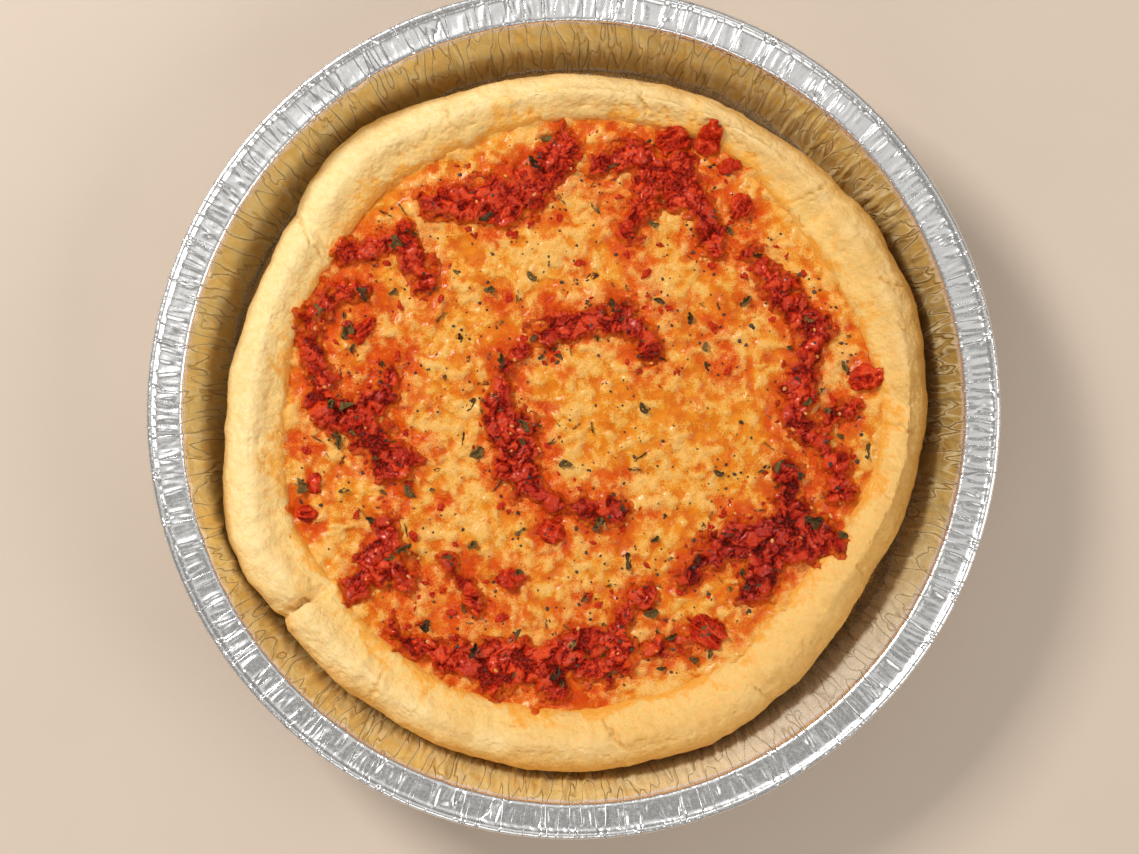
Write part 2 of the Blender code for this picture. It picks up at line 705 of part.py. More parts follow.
def move_rim_to_outline(bm, spines):
    """Shift the rim points of the skin onto the patch's outline."""
    probe = 0.2 * MM
    for vert in bm.verts:
        if not vert.is_boundary:
            continue
        x, y = vert.co.xy
        depth = inside_depth(spines, x, y)
        slope = Vector((
            inside_depth(spines, x + probe, y) - inside_depth(spines, x - probe, y),
            inside_depth(spines, x, y + probe) - inside_depth(spines, x, y - probe),
        )) / (2.0 * probe)
        if slope.length < LEAST_SLOPE:
            continue
        shift = -depth * slope / slope.length_squared
        if shift.length > RIM_SHIFT:
            shift *= RIM_SHIFT / shift.length
        vert.co.x += shift.x
        vert.co.y += shift.y


def scatter_lumps(spines, low_x, low_y, high_x, high_y, rng):
    """Soft tomato lumps over a patch: place, radius and height of each."""
    lumps = []
    count = round((high_x - low_x) * (high_y - low_y) / LUMP_SPACING ** 2 * LUMP_TRIES)
    for _ in range(count):
        place = Vector((rng.uniform(low_x, high_x), rng.uniform(low_y, high_y)))
        radius = rng.uniform(*LUMP_RADIUS)
        height = rng.uniform(*LUMP_HEIGHT)
        if inside_depth(spines, place.x, place.y) < LUMP_INSIDE * radius:
            continue
        if any((place - other).length < LUMP_SPACING for other, _, _ in lumps):
            continue
        lumps.append((place, radius, height))
    return lumps


def sauce_thickness(spines, lumps, x, y):
    """Thickness of a patch at a place: a low bed with domed lumps on it."""
    bed = SAUCE_RISE * smooth_step(0.0, SAUCE_RISE_REACH, inside_depth(spines, x, y))
    dome = 0.0
    for place, radius, height in lumps:
        away = (place - Vector((x, y))).length / radius
        if away < 1.0:
            dome = max(dome, height * math.sqrt(1.0 - away * away))
    return SAUCE_EDGE + bed + dome


def sauce_body(spines, carriers, rng):
    """One patch as a closed body that reaches a little into what carries it."""
    box = patch_box(spines)
    skin = lattice_skin(spines, *box)
    lumps = scatter_lumps(spines, *box, rng)
    bm = bmesh.new()
    top = {}
    low = {}
    for vert in skin.verts:
        x, y = vert.co.xy
        thick = SAUCE_EDGE if vert.is_boundary else sauce_thickness(spines, lumps, x, y)
        top[vert] = bm.verts.new(resting_place(carriers, x, y, thick))
        low[vert] = bm.verts.new(resting_place(carriers, x, y, -SAUCE_SKIRT))
    for face in skin.faces:
        bm.faces.new([top[vert] for vert in face.verts])
        bm.faces.new([low[vert] for vert in reversed(face.verts)])
    for edge in skin.edges:
        if edge.is_boundary:
            one, two = edge.verts
            bm.faces.new((top[one], top[two], low[two], low[one]))
    skin.free()
    bmesh.ops.triangulate(bm, faces=bm.faces)
    bmesh.ops.recalc_face_normals(bm, faces=bm.faces)
    return bm


def height_on(tree, x, y):
    """Height of a body straight below a place, or None beside it."""
    hit = tree.ray_cast(Vector((x, y, PAN_HEIGHT)), Vector((0.0, 0.0, -1.0)))
    return hit[0].z if hit[0] else None


def resting_place(trees, x, y, lift=0.0):
    """The point where something lies on the highest of several bodies."""
    heights = [height_on(tree, x, y) for tree in trees]
    return Vector((x, y, max(z for z in heights if z is not None) + lift))


def build_tomatoes(collection, material, cutters, rng):
    """Large tomato pieces, and the same pieces grown by the gap."""
    carriers = [BVHTree.FromBMesh(cutter) for cutter in cutters]
    grown = []
    for name, (x, y, half_length, half_width, height, turn) in TOMATO_PIECES.items():
        place = resting_place(carriers, x * MM, y * MM)
        radii = (half_length * MM, half_width * MM, height * MM)
        wide = tuple(size + GAP for size in radii)
        seed = rng.random()
        lump = rough_lump(place, radii, math.radians(turn), 2, random.Random(seed))
        grown.append(rough_lump(place, wide, math.radians(turn), 2, random.Random(seed)))
        bm = trim(lump, cutters)
        add_object(name, bm, collection, material)
    return grown


def flakes_on(tree, margin, clear_trees, rng):
    """Herb leaves that lie on a body and stay clear of the others."""
    leaves = []
    for x, y, length, turn in FLAKES:
        height = height_on(tree, x * MM, y * MM)
        if height is None:
            continue
        place = Vector((x * MM, y * MM, height + FLAKE_LIFT))
        reach = FLAKE_REACH * length * MM + margin
        if any(other.find_nearest(place, reach)[0] for other in clear_trees):
            continue
        leaves.append(flake_body(place, length * MM, turn, rng))
    return leaves


def build_sauce(collection, material, carriers, grown, rng):
    """Every patch of sauce with its herb leaves, trimmed clear of what carries it."""
    carrier_trees = [BVHTree.FromBMesh(carrier) for carrier in carriers]
    trees = []
    for name, spines in SAUCE_SPINES.items():
        heap = sauce_body(spines, carrier_trees, rng)
        leaves = flakes_on(BVHTree.FromBMesh(heap), 0.0, [], rng)
        if leaves:
            heap = fuse(heap, leaves)
        patch = trim(heap, carriers + grown)
        trees.append(BVHTree.FromBMesh(patch))
        add_object(name, patch, collection, material)
    return trees


def build_cheese(collection, material, clear_trees, rng):
    """The cheese with the herb leaves that lie on it between the patches."""
    body = cheese_body()
    leaves = flakes_on(BVHTree.FromBMesh(body), 2.0 * GAP, clear_trees, rng)
    return add_object("cheese", fuse(body, leaves), collection, material)


def build():
    """Build every piece."""
    clear_scene()
    parts = new_collection("deep_dish_pizza")
    rng = random.Random(SEED)
    materials = {name: make_material(name) for name in COLOURS}
    build_pan(parts, materials["foil"], rng)
    build_crust(parts, materials["crust"])
    carriers = [cheese_body(GAP), crust_body(GAP)]
    grown = build_tomatoes(parts, materials["tomato"], carriers, rng)
    tomato_trees = [BVHTree.FromBMesh(lump) for lump in grown]
    trees = build_sauce(parts, materials["sauce"], carriers, grown, rng)
    build_cheese(parts, materials["cheese"], trees + tomato_trees, rng)


build()
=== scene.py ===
import itertools
import math
import random

import bmesh
import bpy
import numpy as np
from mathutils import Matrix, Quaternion, Vector, noise
from mathutils.bvhtree import BVHTree


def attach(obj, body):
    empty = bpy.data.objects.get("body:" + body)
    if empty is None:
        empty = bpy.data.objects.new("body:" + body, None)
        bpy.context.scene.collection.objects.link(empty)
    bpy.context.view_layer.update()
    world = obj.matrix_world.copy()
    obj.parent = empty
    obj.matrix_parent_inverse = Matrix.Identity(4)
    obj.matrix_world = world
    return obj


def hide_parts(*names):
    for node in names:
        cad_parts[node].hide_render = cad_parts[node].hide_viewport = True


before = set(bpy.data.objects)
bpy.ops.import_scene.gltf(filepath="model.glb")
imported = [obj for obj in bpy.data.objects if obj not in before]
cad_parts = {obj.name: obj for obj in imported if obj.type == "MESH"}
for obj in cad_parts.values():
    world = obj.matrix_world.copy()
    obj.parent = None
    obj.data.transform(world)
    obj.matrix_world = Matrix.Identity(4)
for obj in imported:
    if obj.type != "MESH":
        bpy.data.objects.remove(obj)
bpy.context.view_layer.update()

# Foil pan
# A round pan pressed from thin crinkled aluminium foil, with a gold lacquer on the inside of its
# wall. Its flange is gathered in radial crinkles and its edge is rolled under in a bead.
# Sizes are in millimetres and angles in degrees, here and in the sections below.
MM = 0.001
PAN_TURNS = 1800
FOIL_THICKNESS = 0.34
FLOOR_TOP = 0.38
WALL_FOOT = (99.9, 2.0)
WALL_TOP = (107.4, 37.2)
WALL_ROWS = 16
LIP_CENTRE = (108.7, 37.95)
LIP_RADIUS = 1.2
FLANGE_END = 115.1
FLANGE_TOP = 39.15
FLANGE_ROWS = 8
BEAD_CENTRE = (116.3, 38.75)
BEAD_RADIUS = 1.2
BEAD_ROWS = 11
OUTER_LIMIT = 117.45
TOP_LIMIT = 39.95
WALL_LIFT = -0.15
FLANGE_LIFT = -0.22
# Bumps round the pan, each with its angle, spread and reach.
WALL_GATHERED = ((50.0, 28.0, 1.0), (275.0, 40.0, 0.6))
WALL_FLOWING = ((120.0, 25.0, 1.0), (205.0, 25.0, 0.6))
GOLD_EDGE = 37.9
GOLD_EDGE_WAVES = (62.0, 14.0, 0.5)
BARE_FOOT = 1.8
BARE_FOOT_SWELLS = ((62.0, 9.0, 6.5), (328.0, 13.0, 6.5), (160.0, 6.0, 3.0))
THIN_GOLD = (310.0, 26.0, 0.42)
# Where the crust's painted shadow darkens the gold on the right wall.
RIGHT_WALL_SHADE = (4.0, 24.0, 0.85)
EDGE_STAINS = ((74.0, 16.0, 1.0), (52.0, 6.0, 0.6))
# Single stains on the wall, each as such a bump with its height and how far it reaches down.
WALL_STAINS = (((354.0, 1.2, 1.0), 24.0, 3.0), ((130.0, 1.0, 1.0), 30.0, 2.0))
# Colours of the foil, from dark to light where there are two.
SILVER_COLOURS = ((0.90, 0.89, 0.87), (0.97, 0.96, 0.95))
GOLD_COLOURS = ((1.0, 0.69, 0.21), (1.0, 0.80, 0.34))
# Colour of the crust's painted shadow on the gold of the right wall.
RIGHT_WALL_SHADE_COLOUR = (0.42, 0.26, 0.07)
# Painted shade in the crease lines, on silver and on gold, and a painted highlight on their flanks.
CREASE_SHADE_ON_SILVER = (0.34, 0.33, 0.32)
CREASE_SHADE_ON_GOLD = (0.50, 0.27, 0.06)
CREASE_FLANK_HIGHLIGHT = (1.0, 0.90, 0.60)
FOIL_STAIN_COLOUR = (0.30, 0.09, 0.025)


def hash_unit(seed, *lattice):
    """Evenly spread numbers from 0 to 1, one for each whole-number place of a lattice."""
    mask = np.uint64(0xFFFFFFFF)
    value = np.full(lattice[0].shape, (seed * 668265263 + 374761393) % 2 ** 32, dtype=np.uint64)
    for index, factor in zip(lattice, (73856093, 19349663, 83492791)):
        value ^= (index.astype(np.int64) * factor).astype(np.uint64) & mask
        value = (value ^ (value >> np.uint64(15))) * np.uint64(2246822519) & mask
        value = (value ^ (value >> np.uint64(13))) * np.uint64(3266489917) & mask
    return (value ^ (value >> np.uint64(16))).astype(float) / 2 ** 32


def soft_noise(size, seed, *coords):
    """Smooth noise from -1 to 1 with bumps of one size, over one to three coordinates."""
    cells = [np.floor(axis / size) for axis in coords]
    shares = [axis / size - cell for axis, cell in zip(coords, cells)]
    eased = [share ** 3 * (share * (share * 6.0 - 15.0) + 10.0) for share in shares]
    total = np.zeros(np.broadcast(*coords).shape)
    for corner in itertools.product((0, 1), repeat=len(coords)):
        weight = 1.0
        for step, share in zip(corner, eased):
            weight = weight * (share if step else 1.0 - share)
        places = np.broadcast_arrays(*(cell + step for cell, step in zip(cells, corner)))
        total += weight * hash_unit(seed, *places)
    return 2.0 * total - 1.0


def layered_noise(size, layers, seed, *coords):
    """Noise in layers, each half as large and half as high as the one before."""
    return sum(0.5 ** k * soft_noise(size * 0.5 ** k, seed + k, *coords) for k in range(layers))


def smooth_step(low, high, value):
    """Share from 0 at low to 1 at high, eased at both ends."""
    share = np.clip((value - low) / (high - low), 0.0, 1.0)
    return share * share * (3.0 - 2.0 * share)


def swelling(degrees, at, spread, reach):
    """A smooth bump round the angle at."""
    away = (degrees - at + 180.0) % 360.0 - 180.0
    return reach * np.exp(-0.5 * (away / spread) ** 2)


def swellings(degrees, table):
    """Several such bumps together."""
    return sum(swelling(degrees, *row) for row in table)


def arc(centre, radius, start, end, rows):
    """Points of an arc as radius and height, with angles in degrees."""
    turns = np.radians(np.linspace(start, end, rows))
    return [(centre[0] + radius * math.cos(t), centre[1] + radius * math.sin(t)) for t in turns]


def run(start, end, rows):
    """Evenly spaced points from start up to, but without, end."""
    shares = np.arange(rows) / rows
    return [tuple(np.add(start, np.multiply(np.subtract(end, start), share))) for share in shares]


def foil_section():
    """The foil's upper face from the floor to the rolled end, then its lower face back."""
    upper = [(60.0, FLOOR_TOP), (94.0, FLOOR_TOP), (98.2, FLOOR_TOP), (99.3, 0.9)]
    upper += run(WALL_FOOT, WALL_TOP, WALL_ROWS)
    upper += arc(LIP_CENTRE, LIP_RADIUS, 176.0, 96.0, 5)
    upper += run((109.1, FLANGE_TOP), (FLANGE_END, FLANGE_TOP), FLANGE_ROWS)
    upper += arc(BEAD_CENTRE, BEAD_RADIUS, 158.0, -130.0, BEAD_ROWS)
    inside = FOIL_THICKNESS
    lower = arc(BEAD_CENTRE, BEAD_RADIUS - inside, -130.0, 130.0, 7)
    lower += run((FLANGE_END - 0.3, FLANGE_TOP - inside), (109.1, FLANGE_TOP - inside), 3)
    lower += arc(LIP_CENTRE, LIP_RADIUS - inside, 100.0, 180.0, 3)
    outer_top = (WALL_TOP[0] + inside, WALL_TOP[1])
    lower += run(outer_top, (WALL_FOOT[0] + inside, WALL_FOOT[1]), 6)
    lower += [(99.7, 0.7), (98.3, 0.0), (60.0, 0.0)]
    return np.array(upper), np.array(lower)


def fold_relief(angles, along, folds):
    """Height of sharp folds in the foil at each share along a band and each angle."""
    relief = np.zeros((len(along), len(angles)))
    share = along[:, None]
    for at, slant, bend, half_width, height, start, end, lean in folds:
        crest = at + slant * (share - 0.5) + bend * np.sin(math.pi * share)
        away = (angles[None, :] - crest + 180.0) % 360.0 - 180.0
        reach = half_width * np.where(away > 0.0, 1.0 + lean, 1.0 - lean)
        ridge = np.clip(1.0 - np.abs(away) / reach, 0.0, 1.0)
        ends = smooth_step(start, start + 0.15, share) * (1.0 - smooth_step(end - 0.2, end, share))
        relief += height * ridge * ends
    return relief


def flange_folds(rng):
    """Groups of narrow radial crinkles with flat patches between them."""
    folds = []
    at = 0.0
    while at < 360.0:
        for _ in range(rng.randint(3, 9)):
            half_width = rng.uniform(0.26, 0.62)
            height = rng.uniform(0.10, 0.36) * half_width / 0.42
            start = rng.choice((-0.2, -0.2, -0.2, rng.uniform(0.0, 0.45)))
            end = rng.choice((1.2, 1.2, rng.uniform(0.6, 1.0)))
            slant = rng.uniform(-0.7, 0.7)
            bend = rng.uniform(-0.25, 0.25)
            lean = rng.uniform(-0.5, 0.5)
            folds.append((at, slant, bend, half_width, height, start, end, lean))
            at += half_width * rng.uniform(1.5, 2.6)
        at += rng.choice((0.4, 1.0, 1.8, 3.2)) * rng.uniform(0.7, 1.2)
    return folds


def wall_folds(rng):
    """Flowing wrinkles that run down the wall, leaf-like where the foil was gathered most."""
    folds = []
    at = 0.0
    while at < 360.0:
        gathered = float(swellings(at, WALL_GATHERED))
        flowing = float(swellings(at, WALL_FLOWING))
        half_width = rng.uniform(0.3, 0.9) + 0.25 * flowing
        slant = rng.uniform(-2.2, 2.2) * (1.0 + 2.2 * flowing)
        height = rng.uniform(0.15, 0.5) * (1.0 + 0.15 * gathered)
        start = rng.choice((-0.2, rng.uniform(0.0, 0.5)))
        end = rng.choice((1.2, rng.uniform(max(start, 0.0) + 0.35, 1.1)))
        lean = rng.choice((-0.75, 0.75)) * rng.uniform(0.6, 1.0)
        folds.append((at, slant, rng.uniform(-1.2, 1.2), half_width, height, start, end, lean))
        at += half_width * rng.uniform(0.6, 2.0) * (1.0 - 0.3 * gathered)
    return folds


def foil_relief(points, angles):
    """How far each point of a foil face moves along its normal, row by row, in millimetres."""
    radius, height = points[:, 0], points[:, 1]
    rng = random.Random(11)
    down = np.clip((height - WALL_FOOT[1]) / (FLANGE_TOP - WALL_FOOT[1]), 0.0, 1.0)
    out = np.clip((radius - LIP_CENTRE[0]) / (FLANGE_END - LIP_CENTRE[0]), 0.0, 1.0)
    wall_share = smooth_step(1.0, 5.0, height) * (1.0 - smooth_step(106.9, 107.9, radius))
    flange_share = smooth_step(108.4, 110.2, radius) * (1.0 - smooth_step(114.6, 115.6, radius))
    bead_share = smooth_step(115.0, 115.6, radius)
    wall = fold_relief(angles, down, wall_folds(rng))
    flange = fold_relief(angles, out, flange_folds(rng)) + FLANGE_LIFT
    turn = np.radians(angles)[None, :]
    radius = radius[:, None]
    ring = [radius * np.cos(turn), radius * np.sin(turn), height[:, None] + 0.0 * turn]
    slow = 0.22 * soft_noise(7.0, 21, *ring) + 0.1 * soft_noise(2.6, 22, *ring)
    dents = -0.09 * np.abs(soft_noise(2.6, 23, *ring)) - 0.015 * np.abs(soft_noise(1.1, 24, *ring))
    relief = wall_share[:, None] * (wall + slow + WALL_LIFT) + bead_share[:, None] * dents
    return relief + flange_share[:, None] * (np.clip(flange, -0.3, 0.5) + 0.6 * slow)


def ring_faces(first, rows, wrap):
    """Quads between rows of points that each go round once, from the first point's number on."""
    steps = np.arange(wrap)
    after = (steps + 1) % wrap
    faces = []
    for start in first + wrap * np.arange(rows - 1):
        low, high = start, start + wrap
        faces += np.stack([low + steps, low + after, high + after, high + steps], axis=1).tolist()
    return faces


def make_piece(name, points, faces, material, attributes=None):
    """A smooth mesh piece, with a number for each point in each named attribute."""
    mesh = bpy.data.meshes.new(name)
    mesh.from_pydata(points, [], faces)
    mesh.shade_smooth()
    if material:
        mesh.materials.append(material)
    for key, values in (attributes or {}).items():
        layer = mesh.attributes.new(key, "FLOAT", "POINT")
        layer.data.foreach_set("value", np.asarray(values, dtype=float))
    piece = bpy.data.objects.new(name, mesh)
    bpy.context.scene.collection.objects.link(piece)
    return piece


class Shader:
    """A node material: add() makes a node with its values and links, put() sets the surface."""

    def __init__(self, name, group=False):
        if group:
            self.tree = bpy.data.node_groups.new(name, "ShaderNodeTree")
        else:
            self.material = bpy.data.materials.new(name)
            self.material.use_nodes = True
            self.tree = self.material.node_tree
            self.surface = self.tree.nodes["Principled BSDF"]

    def set(self, node, values):
        for key, value in values.items():
            socket = node.inputs[key]
            if isinstance(value, bpy.types.NodeSocket):
                self.tree.links.new(value, socket)
            elif isinstance(value, tuple) and len(value) == 3 and socket.type == "RGBA":
                socket.default_value = (*value, 1.0)
            else:
                socket.default_value = value

    def add(self, kind, values=None, **settings):
        node = self.tree.nodes.new("ShaderNode" + kind)
        for key, value in settings.items():
            setattr(node, key, value)
        self.set(node, values or {})
        return node

    def put(self, **values):
        self.set(self.surface, {key.replace("_", " "): value for key, value in values.items()})

    def place(self):
        """Object coordinates in millimetres."""
        where = self.add("TexCoord").outputs["Object"]
        return self.add("VectorMath", {0: where, 3: 1000.0}, operation="SCALE").outputs[0]

    def noise(self, where, scale, detail=2.0, roughness=0.5, distortion=0.0):
        values = {"Vector": where, "Scale": scale, "Detail": detail, "Roughness": roughness}
        return self.add("TexNoise", {**values, "Distortion": distortion}).outputs["Fac"]

    def between(self, value, low, high, to_low=0.0, to_high=1.0):
        """A value mapped from one range to another, eased and held at its ends."""
        values = {"Value": value, "From Min": low, "From Max": high, "To Min": to_low, "To Max": to_high}
        return self.add("MapRange", values, interpolation_type="SMOOTHSTEP").outputs["Result"]

    def spread(self, value, to_low=0.0, to_high=1.0):
        """The middle part of a noise stretched over a range."""
        return self.between(value, 0.3, 0.7, to_low, to_high)

    def math(self, operation, first, second=0.0):
        return self.add("Math", {0: first, 1: second}, operation=operation).outputs[0]

    def plus(self, first, second):
        return self.math("ADD", first, second)

    def minus(self, first, second):
        return self.math("SUBTRACT", first, second)

    def times(self, first, second):
        return self.math("MULTIPLY", first, second)

    def from_half(self, noise):
        """How far a noise is from its middle value."""
        return self.math("ABSOLUTE", self.minus(noise, 0.5))

    def mix(self, share, first, second, blend="MIX"):
        """A colour between two, or the first tinted by the second."""
        node = self.add("Mix", {0: share, 6: first, 7: second}, data_type="RGBA", blend_type=blend)
        return node.outputs[2]

    def round_about(self, where, across, along):
        """Coordinates that run round the middle and down the wall, scaled for stretched noise."""
        parts = self.add("SeparateXYZ", {0: where}).outputs
        turn = self.times(self.math("ARCTAN2", parts[1], parts[0]), 108.0 * across)
        level = self.add("VectorMath", {0: where}, operation="LENGTH").outputs["Value"]
        values = {0: turn, 1: self.times(level, along), 2: self.times(parts[2], along)}
        return self.add("CombineXYZ", values).outputs[0]

    def attribute(self, name):
        return self.add("Attribute", attribute_name=name).outputs["Fac"]

    def bump(self, height, strength, distance, normal=None):
        values = {"Height": height, "Strength": strength, "Distance": distance * MM}
        if normal:
            values["Normal"] = normal
        return self.add("Bump", values).outputs["Normal"]


def foil_material():
    """Crinkled foil: bright metal, under gold lacquer and with orange stains where marked, with painted shade
    in its crease lines, painted highlights beside them and the crust's painted shadow on the right wall.
    """
    foil = Shader("foil")
    where = foil.place()
    lacquer = foil.attribute("lacquer")
    cloud = foil.noise(where, 0.12)
    fine = foil.noise(where, 1.6, 2.0, 0.6)
    wrinkle = foil.from_half(foil.noise(foil.round_about(where, 0.2, 0.07), 1.0, 2.0, 0.45, 0.5))
    apart = foil.from_half(foil.noise(foil.round_about(where, 0.3, 0.035), 1.0, 1.0, 0.4, 0.35))
    thin_line = foil.between(apart, 0.0, 0.024)
    flank_highlight = foil.times(foil.between(apart, 0.018, 0.035), foil.between(apart, 0.04, 0.08, 1.0, 0.0))
    silver = foil.mix(cloud, *SILVER_COLOURS)
    gold = foil.mix(foil.spread(cloud), *GOLD_COLOURS)
    colour = foil.mix(foil.between(lacquer, 0.4, 0.9), silver, gold)
    # The crust's painted shadow: the gold darkened on the right wall, by the deep mark.
    colour = foil.mix(foil.times(foil.attribute("deep"), lacquer), colour, RIGHT_WALL_SHADE_COLOUR)
    # Painted shade in the thin crease lines, and a painted highlight along their flanks on the gold.
    crease_shade = foil.mix(lacquer, CREASE_SHADE_ON_SILVER, CREASE_SHADE_ON_GOLD)
    colour = foil.mix(foil.times(foil.minus(1.0, thin_line), 0.34), colour, crease_shade)
    colour = foil.mix(foil.times(flank_highlight, foil.times(lacquer, 0.55)), colour, CREASE_FLANK_HIGHLIGHT)
    marked = foil.times(foil.attribute("stain"), foil.between(foil.noise(where, 0.9, 3.0), 0.42, 0.62))
    colour = foil.mix(marked, colour, FOIL_STAIN_COLOUR)
    rough = foil.plus(foil.spread(fine, 0.22, 0.32), foil.times(lacquer, 0.05))
    drawn = foil.noise(foil.round_about(where, 0.9, 0.12), 1.0, 1.0)
    normal = foil.bump(fine, 0.1, 0.06)
    normal = foil.bump(drawn, 0.3, 0.3, normal)
    normal = foil.bump(thin_line, foil.between(lacquer, 0.0, 1.0, 0.5, 0.9), 0.4, normal)
    normal = foil.bump(wrinkle, foil.between(lacquer, 0.0, 1.0, 0.15, 0.5), 2.4, normal)
    metal = foil.minus(1.0, foil.between(lacquer, 0.0, 0.6, 0.0, 0.8))
    foil.put(Base_Color=colour, Roughness=rough, Metallic=metal, Normal=normal)
    return foil.material


def foil_marks(ring):
    """How gold, how stained and how darkened by the crust's painted shadow the foil's upper face is at each
    point.
    """
    x, y, height = ring.T
    degrees = np.degrees(np.arctan2(y, x)) % 360.0
    border = GOLD_EDGE + swelling(degrees, *GOLD_EDGE_WAVES) * soft_noise(4.0, 31, x, y)
    bare = BARE_FOOT + swellings(degrees, BARE_FOOT_SWELLS) + 0.8 * soft_noise(6.0, 32, x, y)
    coated = 1.0 - smooth_step(border - 0.4, border + 0.4, height)
    coated *= smooth_step(bare - 0.6, bare + 0.6, height)
    near_border = np.exp(-((height - 37.4) / 1.3) ** 2) * (np.hypot(x, y) < 109.5)
    stained = near_border * swellings(degrees, EDGE_STAINS)
    for place, level, down in WALL_STAINS:
        stained += swelling(degrees, *place) * np.exp(-((height - level) / down) ** 2)
    return coated * (1.0 - swelling(degrees, *THIN_GOLD)), stained, swelling(degrees, *RIGHT_WALL_SHADE)


def build_pan():
    """Sweep the section round, press the folds into it and close it to one thin skin."""
    upper, lower = foil_section()
    angles = 360.0 * np.arange(PAN_TURNS) / PAN_TURNS
    half = PAN_TURNS // 2
    points = []
    for rows, stride, sign in ((upper, 1, 1.0), (lower, 2, -1.0)):
        along = np.gradient(rows, axis=0)
        along /= np.linalg.norm(along, axis=1)[:, None]
        normals = sign * np.stack([-along[:, 1], along[:, 0]], axis=1)
        relief = foil_relief(rows, angles)
        if stride == 2:
            beside = np.minimum(np.roll(relief, 1, axis=1), np.roll(relief, -1, axis=1))
            relief = np.minimum(relief, beside)
        relief = relief[:, ::stride]
        turn = np.radians(angles[::stride])[None, :]
        radius = np.minimum(rows[:, :1] + normals[:, :1] * relief, OUTER_LIMIT)
        height = np.clip(rows[:, 1:] + normals[:, 1:] * relief, 0.0, TOP_LIMIT)
        ring = np.stack([radius * np.cos(turn), radius * np.sin(turn), height], axis=2)
        points.append(ring.reshape(-1, 3))
    offset = len(points[0])
    faces = ring_faces(0, len(upper), PAN_TURNS) + ring_faces(offset, len(lower), half)
    last = (len(upper) - 1) * PAN_TURNS
    for step in range(half):
        near, mid, far = last + 2 * step, last + 2 * step + 1, last + (2 * step + 2) % PAN_TURNS
        one, two = offset + step, offset + (step + 1) % half
        faces += [(near, mid, one), (mid, two, one), (mid, far, two)]
    faces = [tuple(reversed(face)) for face in faces]
    middle = offset + len(points[1])
    end = offset + (len(lower) - 1) * half
    faces += [(middle, step, (step + 1) % PAN_TURNS) for step in range(PAN_TURNS)]
    faces += [(middle + 1, end + (step + 1) % half, end + step) for step in range(half)]
    plain = np.zeros(len(points[1]) + 2)
    # The deep mark carries the crust's painted shadow on the right wall.
    marks = zip(("lacquer", "stain", "deep"), foil_marks(points[0]))
    attributes = {key: np.append(values, plain) for key, values in marks}
    points = np.vstack([*points, (0.0, 0.0, FLOOR_TOP), (0.0, 0.0, 0.0)])
    return make_piece("foil_pan_skin", points * MM, faces, foil_material(), attributes)


pan = build_pan()
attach(pan, "root")
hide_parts("foil_pan")

# Crust
# A thick round wall of baked dough, pale cream, and browner lower right, where the colour is partly
# painted shade away from the light; puffed, folded at the lower left, with creases, hair cracks,
# pores and an oily stain along the cheese.
CRUST_CENTRE = (-0.96, -2.6)
CRUST_TURNS = 1200
CRUST_RADIUS = 98.1
CRUST_SWELLS = (
    (25.0, 20.0, 4.9), (128.0, 9.0, 3.5), (160.0, 13.0, -2.4), (201.0, 7.5, 3.5),
    (221.0, 4.0, 0.6), (297.0, 8.0, 1.1), (328.0, 12.0, -3.1),
)
CRUST_CREASES = (
    (40.0, 2.2, 0.9), (78.0, 1.8, 0.6), (143.0, 1.6, 0.9),
    (214.5, 1.5, 2.6), (278.0, 1.8, 0.8), (306.0, 1.8, 0.7),
)
EDGE_WIDTH = 17.0
EDGE_SWELLS = (
    (82.0, 22.0, -4.2), (62.0, 9.0, -3.0), (30.0, 12.0, 2.0), (352.0, 16.0, -4.6),
    (128.0, 14.0, 1.4), (158.0, 10.0, -2.0), (206.0, 14.0, 2.0), (300.0, 16.0, 1.4),
)
OUTER_SIDE = ((9.0, 0.75), (5.2, 5.0), (2.2, 13.0), (0.0, 21.5), (1.4, 26.2), (4.4, 29.2))
CROWN = (0.48, 30.8)
SHOULDER = (0.75, 28.4)
SLOPE_TOP = 25.5
DISH_Z = 17.0
SECTION_ROWS = (2, 2, 3, 5, 9, 17, 13, 11, 3)
FOOT_Z = 0.75
FOLD_AT = 214.5
# Size, seed and height of the lumps that the dough puffed up in.
CRUST_PUFFS = ((11.0, 41, 0.55), (4.2, 42, 0.32), (1.7, 43, 0.13))
# Bumps that make the crust browner, partly as painted shade on the lower right, away from the light: all
# over, and on its outer side.
TAN_AND_SHADE_ALL_OVER = (332.0, 75.0, 0.8)
TAN_AND_SHADE_OUTSIDE = (310.0, 60.0, 0.3)
# Colours of the dough, from dark to light where there are two.
DOUGH_PALE = ((0.93, 0.67, 0.29), (0.97, 0.77, 0.41))
DOUGH_TAN_AND_SHADE = ((0.72, 0.40, 0.10), (0.80, 0.48, 0.15))
DOUGH_BUTTERY = (0.97, 0.63, 0.20)
DOUGH_BROWNED = (0.55, 0.27, 0.07)
DOUGH_OILED = (0.90, 0.38, 0.035)
DOUGH_SCATTER = (2.0, 1.2, 0.6)
